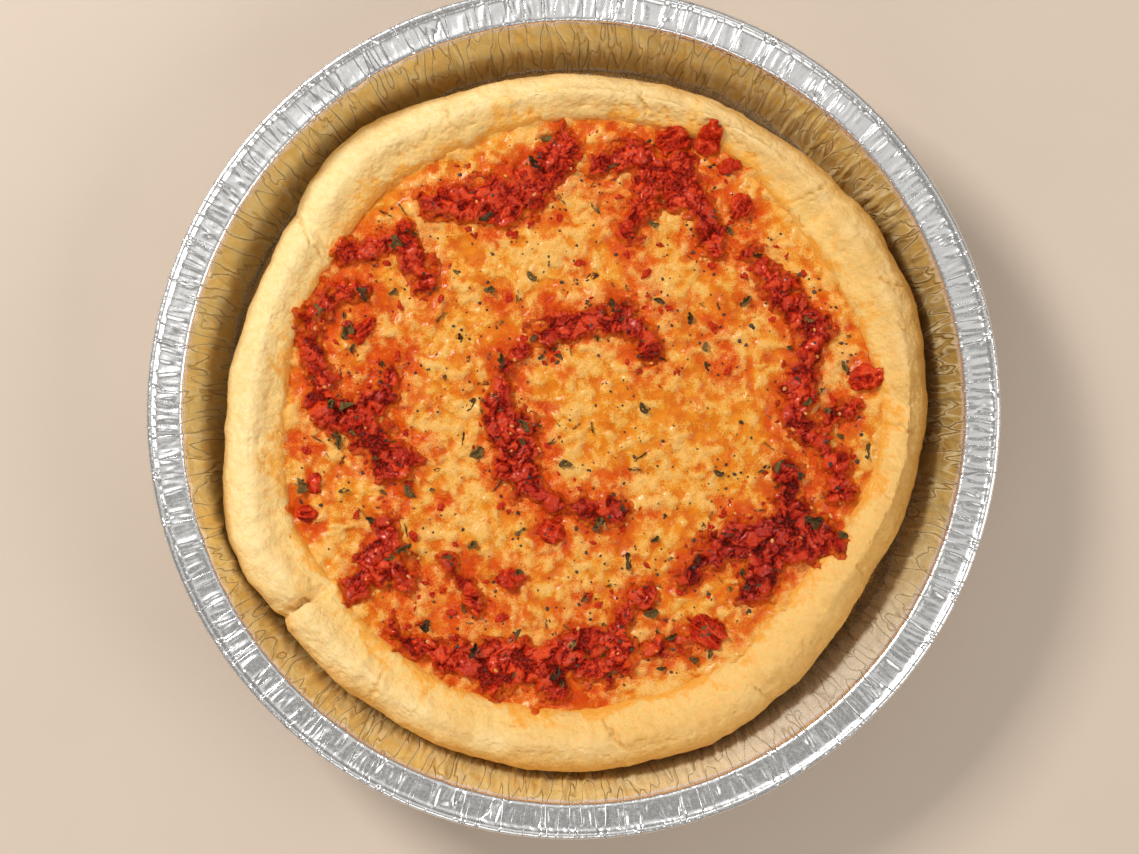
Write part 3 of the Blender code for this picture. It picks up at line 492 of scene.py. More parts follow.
# Ends of each hair crack or tear, and its depth.
CRUST_CRACKS = (
    ((82.6, 37.4), (93.2, 36.0), 0.7), ((88.6, 25.2), (93.4, 23.6), 0.6),
    ((87.0, -3.4), (97.4, -5.4), 0.7), ((84.0, -22.0), (90.0, -25.5), 0.5),
    ((8.8, -84.8), (14.4, -94.6), 1.0), ((-79.2, 56.2), (-75.4, 51.6), 1.0),
    ((-75.4, 51.6), (-69.2, 42.6), 0.8), ((18.4, 90.6), (19.8, 83.0), 0.9),
    ((59.0, 58.0), (72.2, 63.6), 0.5), ((51.5, -77.0), (55.5, -79.0), 0.9),
    ((-81.6, -56.6), (-67.0, -49.4), 1.0), ((-32.0, 78.0), (-36.0, 86.0), 0.5),
    ((-90.0, 12.0), (-82.0, 10.0), 0.4), ((-52.0, -72.0), (-58.0, -80.0), 0.6),
    ((79.0, -42.0), (81.5, -45.0), 0.8),
)


def outline_radius(degrees):
    """Radius of the crust's widest outline about its own centre."""
    return CRUST_RADIUS + swellings(degrees, CRUST_SWELLS) - 0.45 * crease_depth(degrees)


def crease_depth(degrees):
    """How deep the crust is creased at an angle."""
    return sum(swelling(degrees, at, 0.6 * width, deep) for at, width, deep in CRUST_CREASES)


def dish_radius(degrees):
    """Radius at which the crust's inner slope goes down under the cheese."""
    return outline_radius(degrees) - EDGE_WIDTH - swellings(degrees, EDGE_SWELLS)


def crust_controls(degrees):
    """Main points of the crust's section at each angle, as radius and height."""
    outline = outline_radius(degrees)
    width = outline - dish_radius(degrees)
    crease = crease_depth(degrees)
    turn = np.radians(degrees)
    controls = []
    for reach, height in OUTER_SIDE:
        places = zip(2.6 * np.cos(turn), 2.6 * np.sin(turn))
        lift = np.array([0.8 * noise.noise(Vector((x, y, height / 14.0))) for x, y in places])
        sink = crease * smooth_step(SLOPE_TOP, CROWN[1], height)
        controls.append((outline - reach + 0.3 * (lift - 0.8), height + lift * height / 40.0 - sink))
    controls[0] = (outline - OUTER_SIDE[0][0], np.full(degrees.shape, OUTER_SIDE[0][1]))
    controls.append((outline - CROWN[0] * width, CROWN[1] + lift - crease))
    controls.append((outline - SHOULDER[0] * width, SHOULDER[1] - 0.8 * crease))
    controls.append((outline - width, np.full(degrees.shape, SLOPE_TOP)))
    controls.append((outline - width - 3.0, np.full(degrees.shape, DISH_Z)))
    return np.array(controls)


def smooth_rows(controls, counts):
    """Rows along a smooth curve through the main points, with a count for each span."""
    rows = []
    last = len(controls) - 1
    for span, count in enumerate(counts):
        before, start = controls[max(span - 1, 0)], controls[span]
        end, after = controls[span + 1], controls[min(span + 2, last)]
        for share in np.arange(count) / count:
            bend = 2.0 * before - 5.0 * start + 4.0 * end - after
            twist = -before + 3.0 * start - 3.0 * end + after
            curve = (end - before) * share + bend * share ** 2 + twist * share ** 3
            rows.append(0.5 * (2.0 * start + curve))
    rows.append(controls[last])
    return np.array(rows)


def grid_normals(grid):
    """Unit normals of a grid of points that closes on itself along its second axis."""
    around = np.roll(grid, -1, axis=1) - np.roll(grid, 1, axis=1)
    along = np.gradient(grid, axis=0)
    normals = np.cross(around, along)
    return normals / np.linalg.norm(normals, axis=2)[:, :, None]


def fold_step(degrees):
    """The dough lapped over itself at the lower left: a raised lip beside a dip."""
    away = (degrees - FOLD_AT + 180.0) % 360.0 - 180.0
    lip = np.where(away > 0.0, 0.9 * np.exp(-away / 3.2), -1.0 * np.exp(away / 1.8))
    return lip + 0.5 * swelling(degrees, 207.0, 3.0, 1.0)


def beside_run(x, y, start, end):
    """Share of the way along a straight run at each place, and its distance from the run."""
    run_x, run_y = end[0] - start[0], end[1] - start[1]
    share = ((x - start[0]) * run_x + (y - start[1]) * run_y) / (run_x ** 2 + run_y ** 2)
    held = np.clip(share, 0.0, 1.0)
    return share, np.hypot(x - start[0] - held * run_x, y - start[1] - held * run_y)


def cracks(x, y):
    """How deep each place of the crust lies in a hair crack, less than 0 on a crack's raised lips."""
    cut = np.zeros(x.shape)
    bent_x = x + 1.0 * soft_noise(3.0, 53, x, y) + 0.5 * soft_noise(1.3, 55, x, y)
    bent_y = y + 1.0 * soft_noise(3.0, 54, x, y) + 0.5 * soft_noise(1.3, 56, x, y)
    for start, end, deep in CRUST_CRACKS:
        share, away = beside_run(bent_x, bent_y, start, end)
        ends = smooth_step(-0.05, 0.25, share) * (1.0 - smooth_step(0.75, 1.05, share))
        lips = 0.3 * np.exp(-((away - 1.3) / 0.7) ** 2)
        cut = cut + deep * (0.3 + 0.7 * ends) * (np.exp(-(away / 0.42) ** 2) - lips)
    return cut


def crust_material():
    """Baked dough: mottled cream to browned, the browned part partly painted shade, dry, with an orange oily
    stain beside the cheese.
    """
    dough = Shader("crust")
    where = dough.place()
    tan_and_shade = dough.attribute("tan_and_shade")
    oil = dough.attribute("oil")
    broad = dough.noise(where, 0.09, 3.0, 0.6)
    mottle = dough.noise(where, 0.45, 3.0, 0.65)
    speck = dough.noise(where, 2.2, 1.0, 0.6)
    pale = dough.mix(dough.between(mottle, 0.35, 0.68), *DOUGH_PALE)
    warm = dough.mix(dough.spread(mottle), *DOUGH_TAN_AND_SHADE)
    share = dough.plus(tan_and_shade, dough.spread(broad, -0.12, 0.12))
    # Cream to browned dough, the browned side partly painted shade.
    colour = dough.mix(dough.between(share, 0.05, 0.95), pale, warm)
    colour = dough.mix(dough.between(oil, 0.0, 0.3, 0.0, 0.6), colour, DOUGH_BUTTERY)
    browned = dough.times(dough.between(speck, 0.6, 0.74), dough.between(broad, 0.4, 0.6, 0.05, 0.3))
    colour = dough.mix(browned, colour, DOUGH_BROWNED)
    stained = dough.between(dough.plus(oil, dough.spread(mottle, -0.45, 0.35)), 0.1, 1.0)
    colour = dough.mix(dough.times(stained, 0.88), colour, DOUGH_OILED)
    rough = dough.minus(dough.spread(speck, 0.56, 0.74), dough.times(stained, 0.3))
    normal = dough.bump(dough.noise(where, 0.22, 2.0, 0.6), 0.5, 1.4)
    normal = dough.bump(dough.noise(where, 0.8, 2.0, 0.65, 0.3), 0.8, 0.5, normal)
    normal = dough.bump(speck, 0.6, 0.1, normal)
    dough.put(Base_Color=colour, Roughness=rough, Normal=normal, Specular_IOR_Level=0.3)
    dough.put(Subsurface_Weight=0.12, Subsurface_Scale=1.0 * MM)
    dough.surface.inputs["Subsurface Radius"].default_value = DOUGH_SCATTER
    return dough.material


def build_crust():
    """Loft the section round, puff and crease it, and close it with a flat foot and dish floor."""
    degrees = 360.0 * np.arange(CRUST_TURNS) / CRUST_TURNS
    rows = smooth_rows(crust_controls(degrees), SECTION_ROWS)
    turn = np.radians(degrees)
    x = CRUST_CENTRE[0] + rows[:, 0] * np.cos(turn)
    y = CRUST_CENTRE[1] + rows[:, 0] * np.sin(turn)
    grid = np.stack([x, y, rows[:, 1]], axis=2)
    inward = rows[:, 0] - dish_radius(degrees)
    width = outline_radius(degrees) - dish_radius(degrees)
    top = smooth_step(20.0, 30.0, rows[:, 1])
    shown = smooth_step(4.0, 12.0, rows[:, 1]) * smooth_step(-1.5, 1.0, inward)
    spot = grid.transpose(2, 0, 1)
    relief = sum(lift * soft_noise(size, seed, *spot) for size, seed, lift in CRUST_PUFFS)
    around = np.radians(degrees)[None, :] * CRUST_RADIUS + 0.0 * rows[:, 0]
    around = around + 1.4 * soft_noise(9.0, 46, *spot)
    relief += 0.24 * soft_noise(3.0, 44, around, rows[:, 0] / 5.0) * top
    pores = soft_noise(1.1, 45, *spot) - 0.35 * soft_noise(13.0, 47, *spot)
    relief -= 0.35 * smooth_step(0.58, 0.85, pores) * top
    relief += fold_step(degrees)[None, :] * smooth_step(0.05, 0.5, inward / width) * top
    bent = degrees + 1.2 * soft_noise(6.0, 48, rows[:, 0])
    for at, half_width, deep in CRUST_CREASES:
        away = np.abs((bent - at + 180.0) % 360.0 - 180.0)
        crease = 0.5 * deep * np.exp(-away / (0.35 * half_width))
        relief -= crease * top * smooth_step(0.1, 0.4, inward / width)
    cut = cracks(grid[:, :, 0], grid[:, :, 1]) * top
    grid = grid + grid_normals(grid) * ((relief - cut) * shown)[:, :, None]
    # Browner, partly as painted shade: darker in the hair cracks and over the lower right, away from the
    # light.
    tan_and_shade = 0.05 + 0.5 * np.maximum(cut, 0.0) + swelling(degrees, *TAN_AND_SHADE_ALL_OVER)[None, :]
    tan_and_shade += 0.2 * (1.0 - smooth_step(0.1, 0.62, inward / width))
    # The outer side darker: a browned edge, and painted shade where it turns away from the light, most on the
    # lower right.
    tan_and_shade += smooth_step(0.72, 1.0, inward / width) * (0.2 + swelling(degrees, *TAN_AND_SHADE_OUTSIDE)[None, :])
    tan_and_shade += 0.1 * layered_noise(9.0, 2, 51, *grid.transpose(2, 0, 1))
    reach = 4.4 + 8.0 * layered_noise(7.0, 4, 52, grid[:, :, 0], grid[:, :, 1])
    oil = 0.95 * (1.0 - smooth_step(0.0, 1.0, inward / np.maximum(reach, 0.6)))
    oil = np.maximum(oil, 0.3 * (1.0 - smooth_step(0.15, 0.7, inward / width)))
    points = np.vstack([grid.reshape(-1, 3), (*CRUST_CENTRE, FOOT_Z), (*CRUST_CENTRE, DISH_Z)])
    foot, floor = len(points) - 2, len(points) - 1
    faces = ring_faces(0, len(rows), CRUST_TURNS)
    last = foot - CRUST_TURNS
    faces += [(foot, (k + 1) % CRUST_TURNS, k) for k in range(CRUST_TURNS)]
    faces += [(floor, last + k, last + (k + 1) % CRUST_TURNS) for k in range(CRUST_TURNS)]
    attributes = {"tan_and_shade": np.append(tan_and_shade.ravel(), (0.5, 0.5)), "oil": np.append(oil.ravel(), (0.0, 0.0))}
    return make_piece("crust_dough", points * MM, faces, crust_material(), attributes)


crust = build_crust()
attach(crust, "root")
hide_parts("crust")

# Cheese
# One baked layer of melted cheese that fills the dish of the crust: pale soft lumps that stand
# out of glossy orange oil, stained red where the tomato sauce lies on it.
CHEESE_STEP = 0.5
CHEESE_REACH = 88.0
CHEESE_LAP = 2.4
CHEESE_LEVEL = 24.5
RIM_LEVEL = 26.0
FOOT_DRAW = 0.955
# Where the cheese has run to strands, as a place with its spread and strength.
CHEESE_STRANDS = ((38.0, -55.0, 12.0, 1.0), (-68.0, -24.0, 12.0, 0.7))
# Colours of the cheese, from dark to light where there are two.
CHEESE_CREAM = ((0.86, 0.41, 0.075), (0.90, 0.53, 0.16))
CHEESE_MIDDLE = ((0.79, 0.28, 0.014), (0.85, 0.37, 0.03))
CHEESE_OIL = ((0.66, 0.14, 0.004), (0.80, 0.24, 0.008))
CHEESE_RED_TINT = ((0.76, 0.16, 0.04), (0.96, 0.42, 0.12))
CHEESE_EDGE = (0.84, 0.43, 0.09)
# Each patch of sauce as runs of places, each with the half width of the patch there.
SAUCE_SPINES = {
    "sauce_top_left": [
        [(-41, 58, 3.6), (-31, 60, 5.8), (-22, 60, 6.8), (-13, 62, 6.4), (-7, 68, 5.4), (-3, 75, 5.2)],
    ],
    "sauce_top": [
        [(7, 68, 4.0), (15, 73, 5.0), (24, 67, 6.4), (33, 61, 5.6), (38, 51, 4.2), (40, 46, 3.2)],
        [(24, 66, 5.0), (18, 57, 4.2), (16, 50, 3.6)],
        [(24, 66, 5.4), (30, 70, 4.6)],
    ],
    "sauce_upper_left": [
        [(-65, 45, 3.0), (-57, 46, 4.2), (-48, 50, 3.6), (-44, 43, 4.2), (-42, 36, 4.2)],
    ],
    "sauce_left": [
        [(-60, 35, 3.0), (-67, 33, 3.6), (-74, 27, 3.2), (-73, 18, 3.6), (-70, 8, 4.8), (-69, 0, 6.0)],
        [(-69, 0, 6.0), (-61, -2, 6.0), (-56, -7, 5.6), (-51, -14, 5.6), (-46, -13, 3.4)],
        [(-62, -1, 4.4), (-54, 4, 5.2), (-50, 9, 3.4)],
    ],
    "sauce_lower_left": [
        [(-52, -30, 3.4), (-54, -37, 5.4), (-57, -44, 5.6), (-61, -49, 3.8)],
        [(-57, -44, 5.0), (-49, -44, 4.8), (-46, -49, 3.2)],
    ],
    "sauce_bottom": [
        [(-50, -62, 3.0), (-42, -66, 4.0), (-32, -69, 5.4), (-20, -70, 6.2), (-8, -70, 6.4), (2, -65, 5.2)],
        [(2, -65, 5.0), (12, -62, 4.0), (15, -54, 4.2), (21, -50, 2.4)],
        [(-8, -70, 5.4), (-5, -78, 4.8)],
        [(-2, -70, 5.0), (9, -73, 4.4), (14, -67, 4.0)],
        [(-20, -70, 5.4), (-22, -76, 4.4)],
    ],
    "sauce_lower_right": [
        [(31, -47, 2.8), (38, -40, 4.2), (47, -36, 6.4), (58, -36, 7.8), (68, -35, 6.2), (73, -36, 3.2)],
        [(58, -36, 7.0), (53, -45, 6.2), (50, -50, 4.8)],
        [(58, -36, 6.4), (61, -26, 5.2), (60, -17, 4.4)],
    ],
    "sauce_right_low": [
        [(22, -66, 2.6), (27, -65, 3.4), (30, -63, 2.4)],
    ],
    "sauce_right": [
        [(75, -22, 3.4), (74, -14, 3.8), (69, -9, 3.4), (63, -4, 3.6), (63, 7, 5.2), (66, 15, 4.2)],
        [(66, 15, 4.4), (68, 24, 5.0), (61, 30, 4.6), (55, 37, 4.4), (51, 44, 3.0)],
        [(63, -4, 3.6), (72, -2, 3.2), (78, 1, 3.2)],
    ],
    "sauce_centre": [
        [(-13, 20, 2.8), (-4, 24, 4.8), (6, 26, 4.2), (15, 26, 4.8), (21, 19, 4.2), (22, 15, 3.0)],
        [(-20, 9, 3.4), (-20, 0, 5.6), (-17, -6, 7.4), (-16, -13, 7.0), (-13, -20, 5.4), (-6, -24, 3.0)],
        [(-20, 9, 2.8), (-17, 15, 2.4), (-13, 20, 2.6)],
        [(-6, -24, 3.0), (0, -26, 3.2), (6, -28, 4.0), (12, -27, 4.6)],
    ],
    "sauce_low_strip": [
        [(-36, -41, 2.4), (-30, -50, 3.0), (-26, -55, 2.6)],
    ],
}
# Each piece's place, half length, half width, height and turn.
TOMATO_PIECES = {
    "tomato_top_a": (28.2, 76.4, 5.0, 4.2, 3.4, 30.0),
    "tomato_top_b": (38.0, 76.6, 4.6, 3.4, 3.2, 75.0),
    "tomato_upper_right": (46.8, 57.8, 4.2, 3.0, 2.8, 60.0),
    "tomato_right": (82.0, 10.2, 4.8, 3.8, 2.8, 15.0),
    "tomato_lower_right": (37.5, -61.5, 5.8, 4.2, 3.2, -35.0),
    "tomato_left_low": (-74.8, -28.4, 2.8, 2.4, 2.2, 0.0),
    "tomato_left": (-72.6, -19.6, 3.0, 2.2, 1.8, 80.0),
    "tomato_left_inner": (-59.2, 22.8, 4.6, 2.5, 2.2, 45.0),
    "tomato_middle": (-6.4, -33.4, 4.2, 3.4, 2.8, -20.0),
    "tomato_middle_low": (-17.5, -46.2, 4.2, 2.6, 2.2, 10.0),
}
# Place and length of the larger shreds of tomato.
SHREDS = (
    (-75.2, -10.4, 2.4), (-13.9, 20.4, 2.6), (-28.8, -50.2, 3.6), (-19.9, -57.5, 3.0),
    (-44.7, -34.8, 2.6), (-60.8, -28.6, 2.6), (-19.0, -47.0, 4.0), (-5.0, 17.0, 2.8),
    (-3.7, 54.8, 2.6), (-46.7, 52.0, 3.0), (-63.8, 44.2, 2.8), (1.8, 41.9, 2.4),
    (20.3, 39.0, 3.4), (-18.3, 32.0, 2.2), (-48.6, 29.9, 2.6), (26.7, 29.1, 2.4),
    (39.2, 24.2, 3.4), (-49.3, 15.8, 2.6), (43.4, 11.7, 2.8), (-37.1, -26.5, 2.4),
    (4.2, -51.6, 2.8), (-34.0, -56.3, 3.0), (44.0, 69.0, 5.0), (-63.4, 34.0, 2.6),
)


def perlin(size, layer, x, y):
    """The smooth noise that shapes the solids, at many places."""
    places = zip(x.ravel() / size, y.ravel() / size)
    return np.array([noise.noise(Vector((*place, layer))) for place in places]).reshape(x.shape)


def patch_depth(spines, x, y):
    """How far each place is inside a patch of sauce, negative outside it."""
    depth = np.full(x.shape, -99.0)
    for spine in spines:
        for start, end in zip(spine, spine[1:]):
            share, away = beside_run(x, y, start, end)
            half_width = start[2] + (end[2] - start[2]) * np.clip(share, 0.0, 1.0)
            depth = np.maximum(depth, half_width - away)
    return depth + 0.6


def patches_depth(x, y):
    """How far each place is inside any patch of sauce."""
    return np.max([patch_depth(spines, x, y) for spines in SAUCE_SPINES.values()], axis=0)


def nearest_cell(size, seed, x, y):
    """Distance in cell sizes to the nearest of many jittered points, and a number for that point."""
    column, row = np.floor(x / size), np.floor(y / size)
    first = np.full(x.shape, 9.0)
    number = np.zeros(x.shape)
    for step_x, step_y in itertools.product((-1, 0, 1), repeat=2):
        at_x, at_y = column + step_x, row + step_y
        off_x = at_x + hash_unit(seed, at_x, at_y) - x / size
        off_y = at_y + hash_unit(seed + 1, at_x, at_y) - y / size
        away = np.hypot(off_x, off_y)
        closer = away < first
        number = np.where(closer, hash_unit(seed + 2, at_x, at_y), number)
        first = np.where(closer, away, first)
    return first, number


def lattice_faces(keep):
    """Which corners the kept cells of a lattice use, and the faces between them by number."""
    used = np.zeros((keep.shape[0] + 1, keep.shape[1] + 1), dtype=bool)
    for rows, columns in itertools.product((slice(None, -1), slice(1, None)), repeat=2):
        used[rows, columns] |= keep
    numbers = np.full(used.shape, -1)
    numbers[used] = np.arange(used.sum())
    corners = [numbers[:-1, :-1], numbers[:-1, 1:], numbers[1:, 1:], numbers[1:, :-1]]
    return used, [tuple(face) for face in np.stack(corners, axis=2)[keep].tolist()]


def corner_counts(inside):
    """How many corners of each lattice cell lie inside."""
    inside = inside.astype(int)
    return inside[:-1, :-1] + inside[1:, :-1] + inside[:-1, 1:] + inside[1:, 1:]


def face_edges(faces):
    """Each edge of each face, from one corner to the next."""
    return (edge for face in faces for edge in zip(face, (*face[1:], face[0])))


def open_rim(edges):
    """Edges that only one face has."""
    return [(start, end) for start, end in edges if (end, start) not in edges]


def close_below(points, faces, bottom):
    """Close a skin to a body: walls down from its rim, and a floor at the heights given."""
    count = len(points)
    low = points.copy()
    low[:, 2] = bottom
    rim = open_rim(dict.fromkeys(face_edges(faces)))
    walls = [(end, start, start + count, end + count) for start, end in rim]
    under = [tuple(index + count for index in reversed(face)) for face in faces]
    return np.vstack([points, low]), list(faces) + walls + under


def cheese_material():
    """Melted cheese: cream lumps, orange oil between them, red film round the sauce."""
    cheese = Shader("cheese")
    where = cheese.place()
    cream = cheese.attribute("cream")
    film = cheese.attribute("film")
    edge = cheese.attribute("edge")
    fine = cheese.noise(where, 1.3, 2.0, 0.65)
    grain = cheese.noise(where, 3.2, 1.0, 0.6)
    blotch = cheese.noise(where, 0.22, 2.0, 0.6)
    cream_colour = cheese.mix(cheese.spread(grain), *CHEESE_CREAM)
    oil_colour = cheese.mix(cheese.spread(blotch), *CHEESE_OIL)
    drift = cheese.add("TexNoise", {"Vector": where, "Scale": 0.35, "Detail": 2.0}).outputs["Color"]
    drift = cheese.add("VectorMath", {0: drift, 3: 3.4}, operation="SCALE").outputs[0]
    bent = cheese.add("VectorMath", {0: where, 1: drift}, operation="ADD").outputs[0]
    curd = cheese.add("TexVoronoi", {"Vector": bent, "Scale": 0.34, "Smoothness": 0.7}, feature="SMOOTH_F1")
    curd = cheese.between(curd.outputs["Distance"], 0.15, 0.75, 0.26, -0.26)
    share = cheese.plus(cream, cheese.between(fine, 0.28, 0.72, -0.2, 0.2))
    share = cheese.plus(share, curd)
    share = cheese.plus(share, cheese.spread(grain, -0.24, 0.24))
    broad = cheese.noise(where, 0.07, 2.0, 0.55, 1.2)
    share = cheese.plus(share, cheese.between(broad, 0.36, 0.64, -0.3, 0.22))
    colour = cheese.mix(cheese.between(share, 0.0, 0.45), oil_colour, cheese.mix(blotch, *CHEESE_MIDDLE))
    colour = cheese.mix(cheese.between(share, 0.2, 1.15), colour, cream_colour)
    wash = cheese.plus(film, cheese.between(fine, 0.25, 0.75, -0.3, 0.3))
    wash = cheese.between(cheese.minus(wash, cheese.between(share, 0.3, 1.0, -0.05, 0.5)), -0.05, 1.15)
    colour = cheese.mix(wash, colour, cheese.mix(cheese.spread(fine), *CHEESE_RED_TINT), "MULTIPLY")
    colour = cheese.mix(cheese.times(edge, 0.75), colour, CHEESE_EDGE)
    rough = cheese.plus(cheese.between(share, 0.2, 0.9, 0.13, 0.38), cheese.spread(grain, -0.05, 0.08))
    normal = cheese.bump(curd, 0.6, 0.9)
    normal = cheese.bump(fine, 0.7, 0.5, normal)
    normal = cheese.bump(grain, 0.5, 0.12, normal)
    cheese.put(Base_Color=colour, Roughness=rough, Normal=normal, Specular_IOR_Level=0.1)
    cheese.put(Coat_Weight=0.22, Coat_Roughness=0.09)
    return cheese.material


def close_rim(points, faces, centre, depth):
    """Close a skin below with one wall drawn in from its rim and a fan on its floor."""
    rim = open_rim(set(face_edges(faces)))
    starts = sorted({start for start, _ in rim})
    place = {start: len(points) + k for k, start in enumerate(starts)}
    low = points[starts].copy()
    low[:, :2] = np.array(centre) + (low[:, :2] - np.array(centre)) * FOOT_DRAW
    low[:, 2] = depth
    middle = len(points) + len(low)
    points = np.vstack([points, low, [(*centre, depth)]])
    walls = [(end, start, place[start], place[end]) for start, end in rim]
    fan = [(place[end], place[start], middle) for start, end in rim]
    return points, faces + walls + fan


def build_cheese():
    """A fine lattice over the dish, lumped, with oil lying level between the lumps."""
    reach = np.arange(-CHEESE_REACH, CHEESE_REACH + CHEESE_STEP, CHEESE_STEP)
    x, y = np.meshgrid(CRUST_CENTRE[0] + reach, CRUST_CENTRE[1] + reach)
    off_x, off_y = x - CRUST_CENTRE[0], y - CRUST_CENTRE[1]
    degrees = np.degrees(np.arctan2(off_y, off_x)) % 360.0
    limit = dish_radius(degrees) + CHEESE_LAP + 1.2 * layered_noise(5.0, 2, 90, off_x, off_y)
    away = np.hypot(off_x, off_y)
    used, skin = lattice_faces(corner_counts(away < limit) >= 2)
    pull = np.where(away > limit, limit / np.maximum(away, 1.0), 1.0)
    x, y = CRUST_CENTRE[0] + off_x * pull, CRUST_CENTRE[1] + off_y * pull
    x, y, margin, away, degrees = (grid[used] for grid in (x, y, limit - away, away, degrees))
    level = CHEESE_LEVEL + 0.7 * perlin(26.0, 0.0, x, y) + 0.9 * perlin(7.0, 60.0 / 7.0, x, y)
    warp_x = x + 1.3 * soft_noise(5.0, 61, x, y)
    warp_y = y + 1.3 * soft_noise(5.0, 62, x, y)
    first, number = nearest_cell(3.6, 63, warp_x, warp_y)
    lumps = (0.66 - first) * (0.4 + 0.8 * number)
    small, small_number = nearest_cell(1.9, 66, warp_x, warp_y)
    lumps += 0.35 * (0.6 - small) * small_number + 0.55 * layered_noise(2.4, 3, 69, warp_x, warp_y)
    lumps += 0.35 * soft_noise(11.0, 73, x, y)
    strand = soft_noise(1.0, 74, warp_x / 6.0 + warp_y / 4.0, warp_y / 1.5 - warp_x / 3.0)
    for at_x, at_y, spread, strength in CHEESE_STRANDS:
        lumps += 0.5 * swelling(np.hypot(x - at_x, y - at_y), 0.0, spread, strength) * strand
    pool = 0.02 + 0.12 * soft_noise(6.0, 75, x, y)
    raised = lumps - pool
    height = level + 0.85 * np.where(raised > 0.0, raised, 0.35 * raised)
    rim = smooth_step(0.0, 3.5, margin)
    rim_height = RIM_LEVEL + 1.1 * layered_noise(5.0, 3, 87, x, y)
    height = rim_height * (1.0 - rim) + height * rim
    cream = smooth_step(-0.9, 1.3, raised)
    depth = patches_depth(x, y)
    for at_x, at_y, long, *_ in (*TOMATO_PIECES.values(), *SHREDS):
        depth = np.maximum(depth, 0.8 * long - 0.5 - np.hypot(x - at_x, y - at_y))
    wander = 4.2 * layered_noise(8.0, 4, 76, x, y)
    film = 1.0 - smooth_step(-1.5, 9.0, wander - depth)
    around = np.radians(degrees) * 9.0 + 0.4 * soft_noise(9.0, 86, x, y)
    streak = soft_noise(1.0, 80, around, away / 2.0)
    ring = smooth_step(22.0, 40.0, away) * smooth_step(1.0, 6.0, margin)
    film = np.maximum(film, 0.62 * smooth_step(0.2, 0.85, streak) * ring)
    edge = 1.0 - smooth_step(0.5, 4.0, margin + 1.5 * soft_noise(4.0, 79, x, y))
    points, faces = close_rim(np.stack([x, y, height], axis=1), skin, CRUST_CENTRE, DISH_Z + 0.35)
    below = np.zeros(len(points) - len(x))
    attributes = {"cream": cream, "film": film, "edge": edge * (1.0 - film)}
    attributes = {key: np.append(values, below) for key, values in attributes.items()}
    return make_piece("cheese_layer", points * MM, faces, cheese_material(), attributes)


cheese = build_cheese()
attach(cheese, "root")
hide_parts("cheese")

# Sauce
# Thick patches of crushed tomato baked on the cheese: wet torn pulp and skins in small wrinkled
# chunks, bright red where thin, with painted shade, almost black, in the crevices and painted light on the
# crests.
SAUCE_STEP = 0.3
CHUNK_SPACING = 2.9
SAUCE_SINK = 1.2
LOOKED_FROM = 45.0
# How light each patch is, from 0 to 1.
SAUCE_TONES = {
    "sauce_top_left": 0.62, "sauce_top": 0.72, "sauce_upper_left": 0.6, "sauce_left": 0.5,
    "sauce_lower_left": 0.5, "sauce_bottom": 0.62, "sauce_lower_right": 0.12, "sauce_right": 0.5,
    "sauce_centre": 0.42, "sauce_right_low": 0.7, "sauce_low_strip": 0.7,
}
# Colours of cooked tomato, for the darkest and the lightest tone: painted shade for the crevices, the body,
# painted light for the crests, and the thin film.
TOMATO_CREVICE_SHADE = ((0.045, 0.003, 0.001), (0.17, 0.006, 0.002))
TOMATO_BODY = ((0.26, 0.008, 0.003), (0.56, 0.024, 0.005))
TOMATO_CREST_LIGHT = ((0.50, 0.022, 0.005), (0.82, 0.075, 0.012))
TOMATO_FILM = ((0.54, 0.055, 0.005), (0.70, 0.135, 0.009))


def tree_of(*pieces):
    """Search trees over the shown faces of pieces."""
    graph = bpy.context.evaluated_depsgraph_get()
    return [BVHTree.FromObject(piece, graph) for piece in pieces]


def surface_at(trees, x, y):
    """Height in millimetres and facing of the highest surface at a place."""
    above = Vector((x * MM, y * MM, LOOKED_FROM * MM))
    hits = [tree.ray_cast(above, Vector((0.0, 0.0, -1.0))) for tree in trees]
    place, normal = max(((hit[0], hit[1]) for hit in hits if hit[0]), key=lambda hit: hit[0].z)
    return place.z / MM, normal


def heights_on(trees, x, y):
    """Height in millimetres of the highest surface at each place."""
    return np.array([surface_at(trees, *place)[0] for place in zip(x, y)])


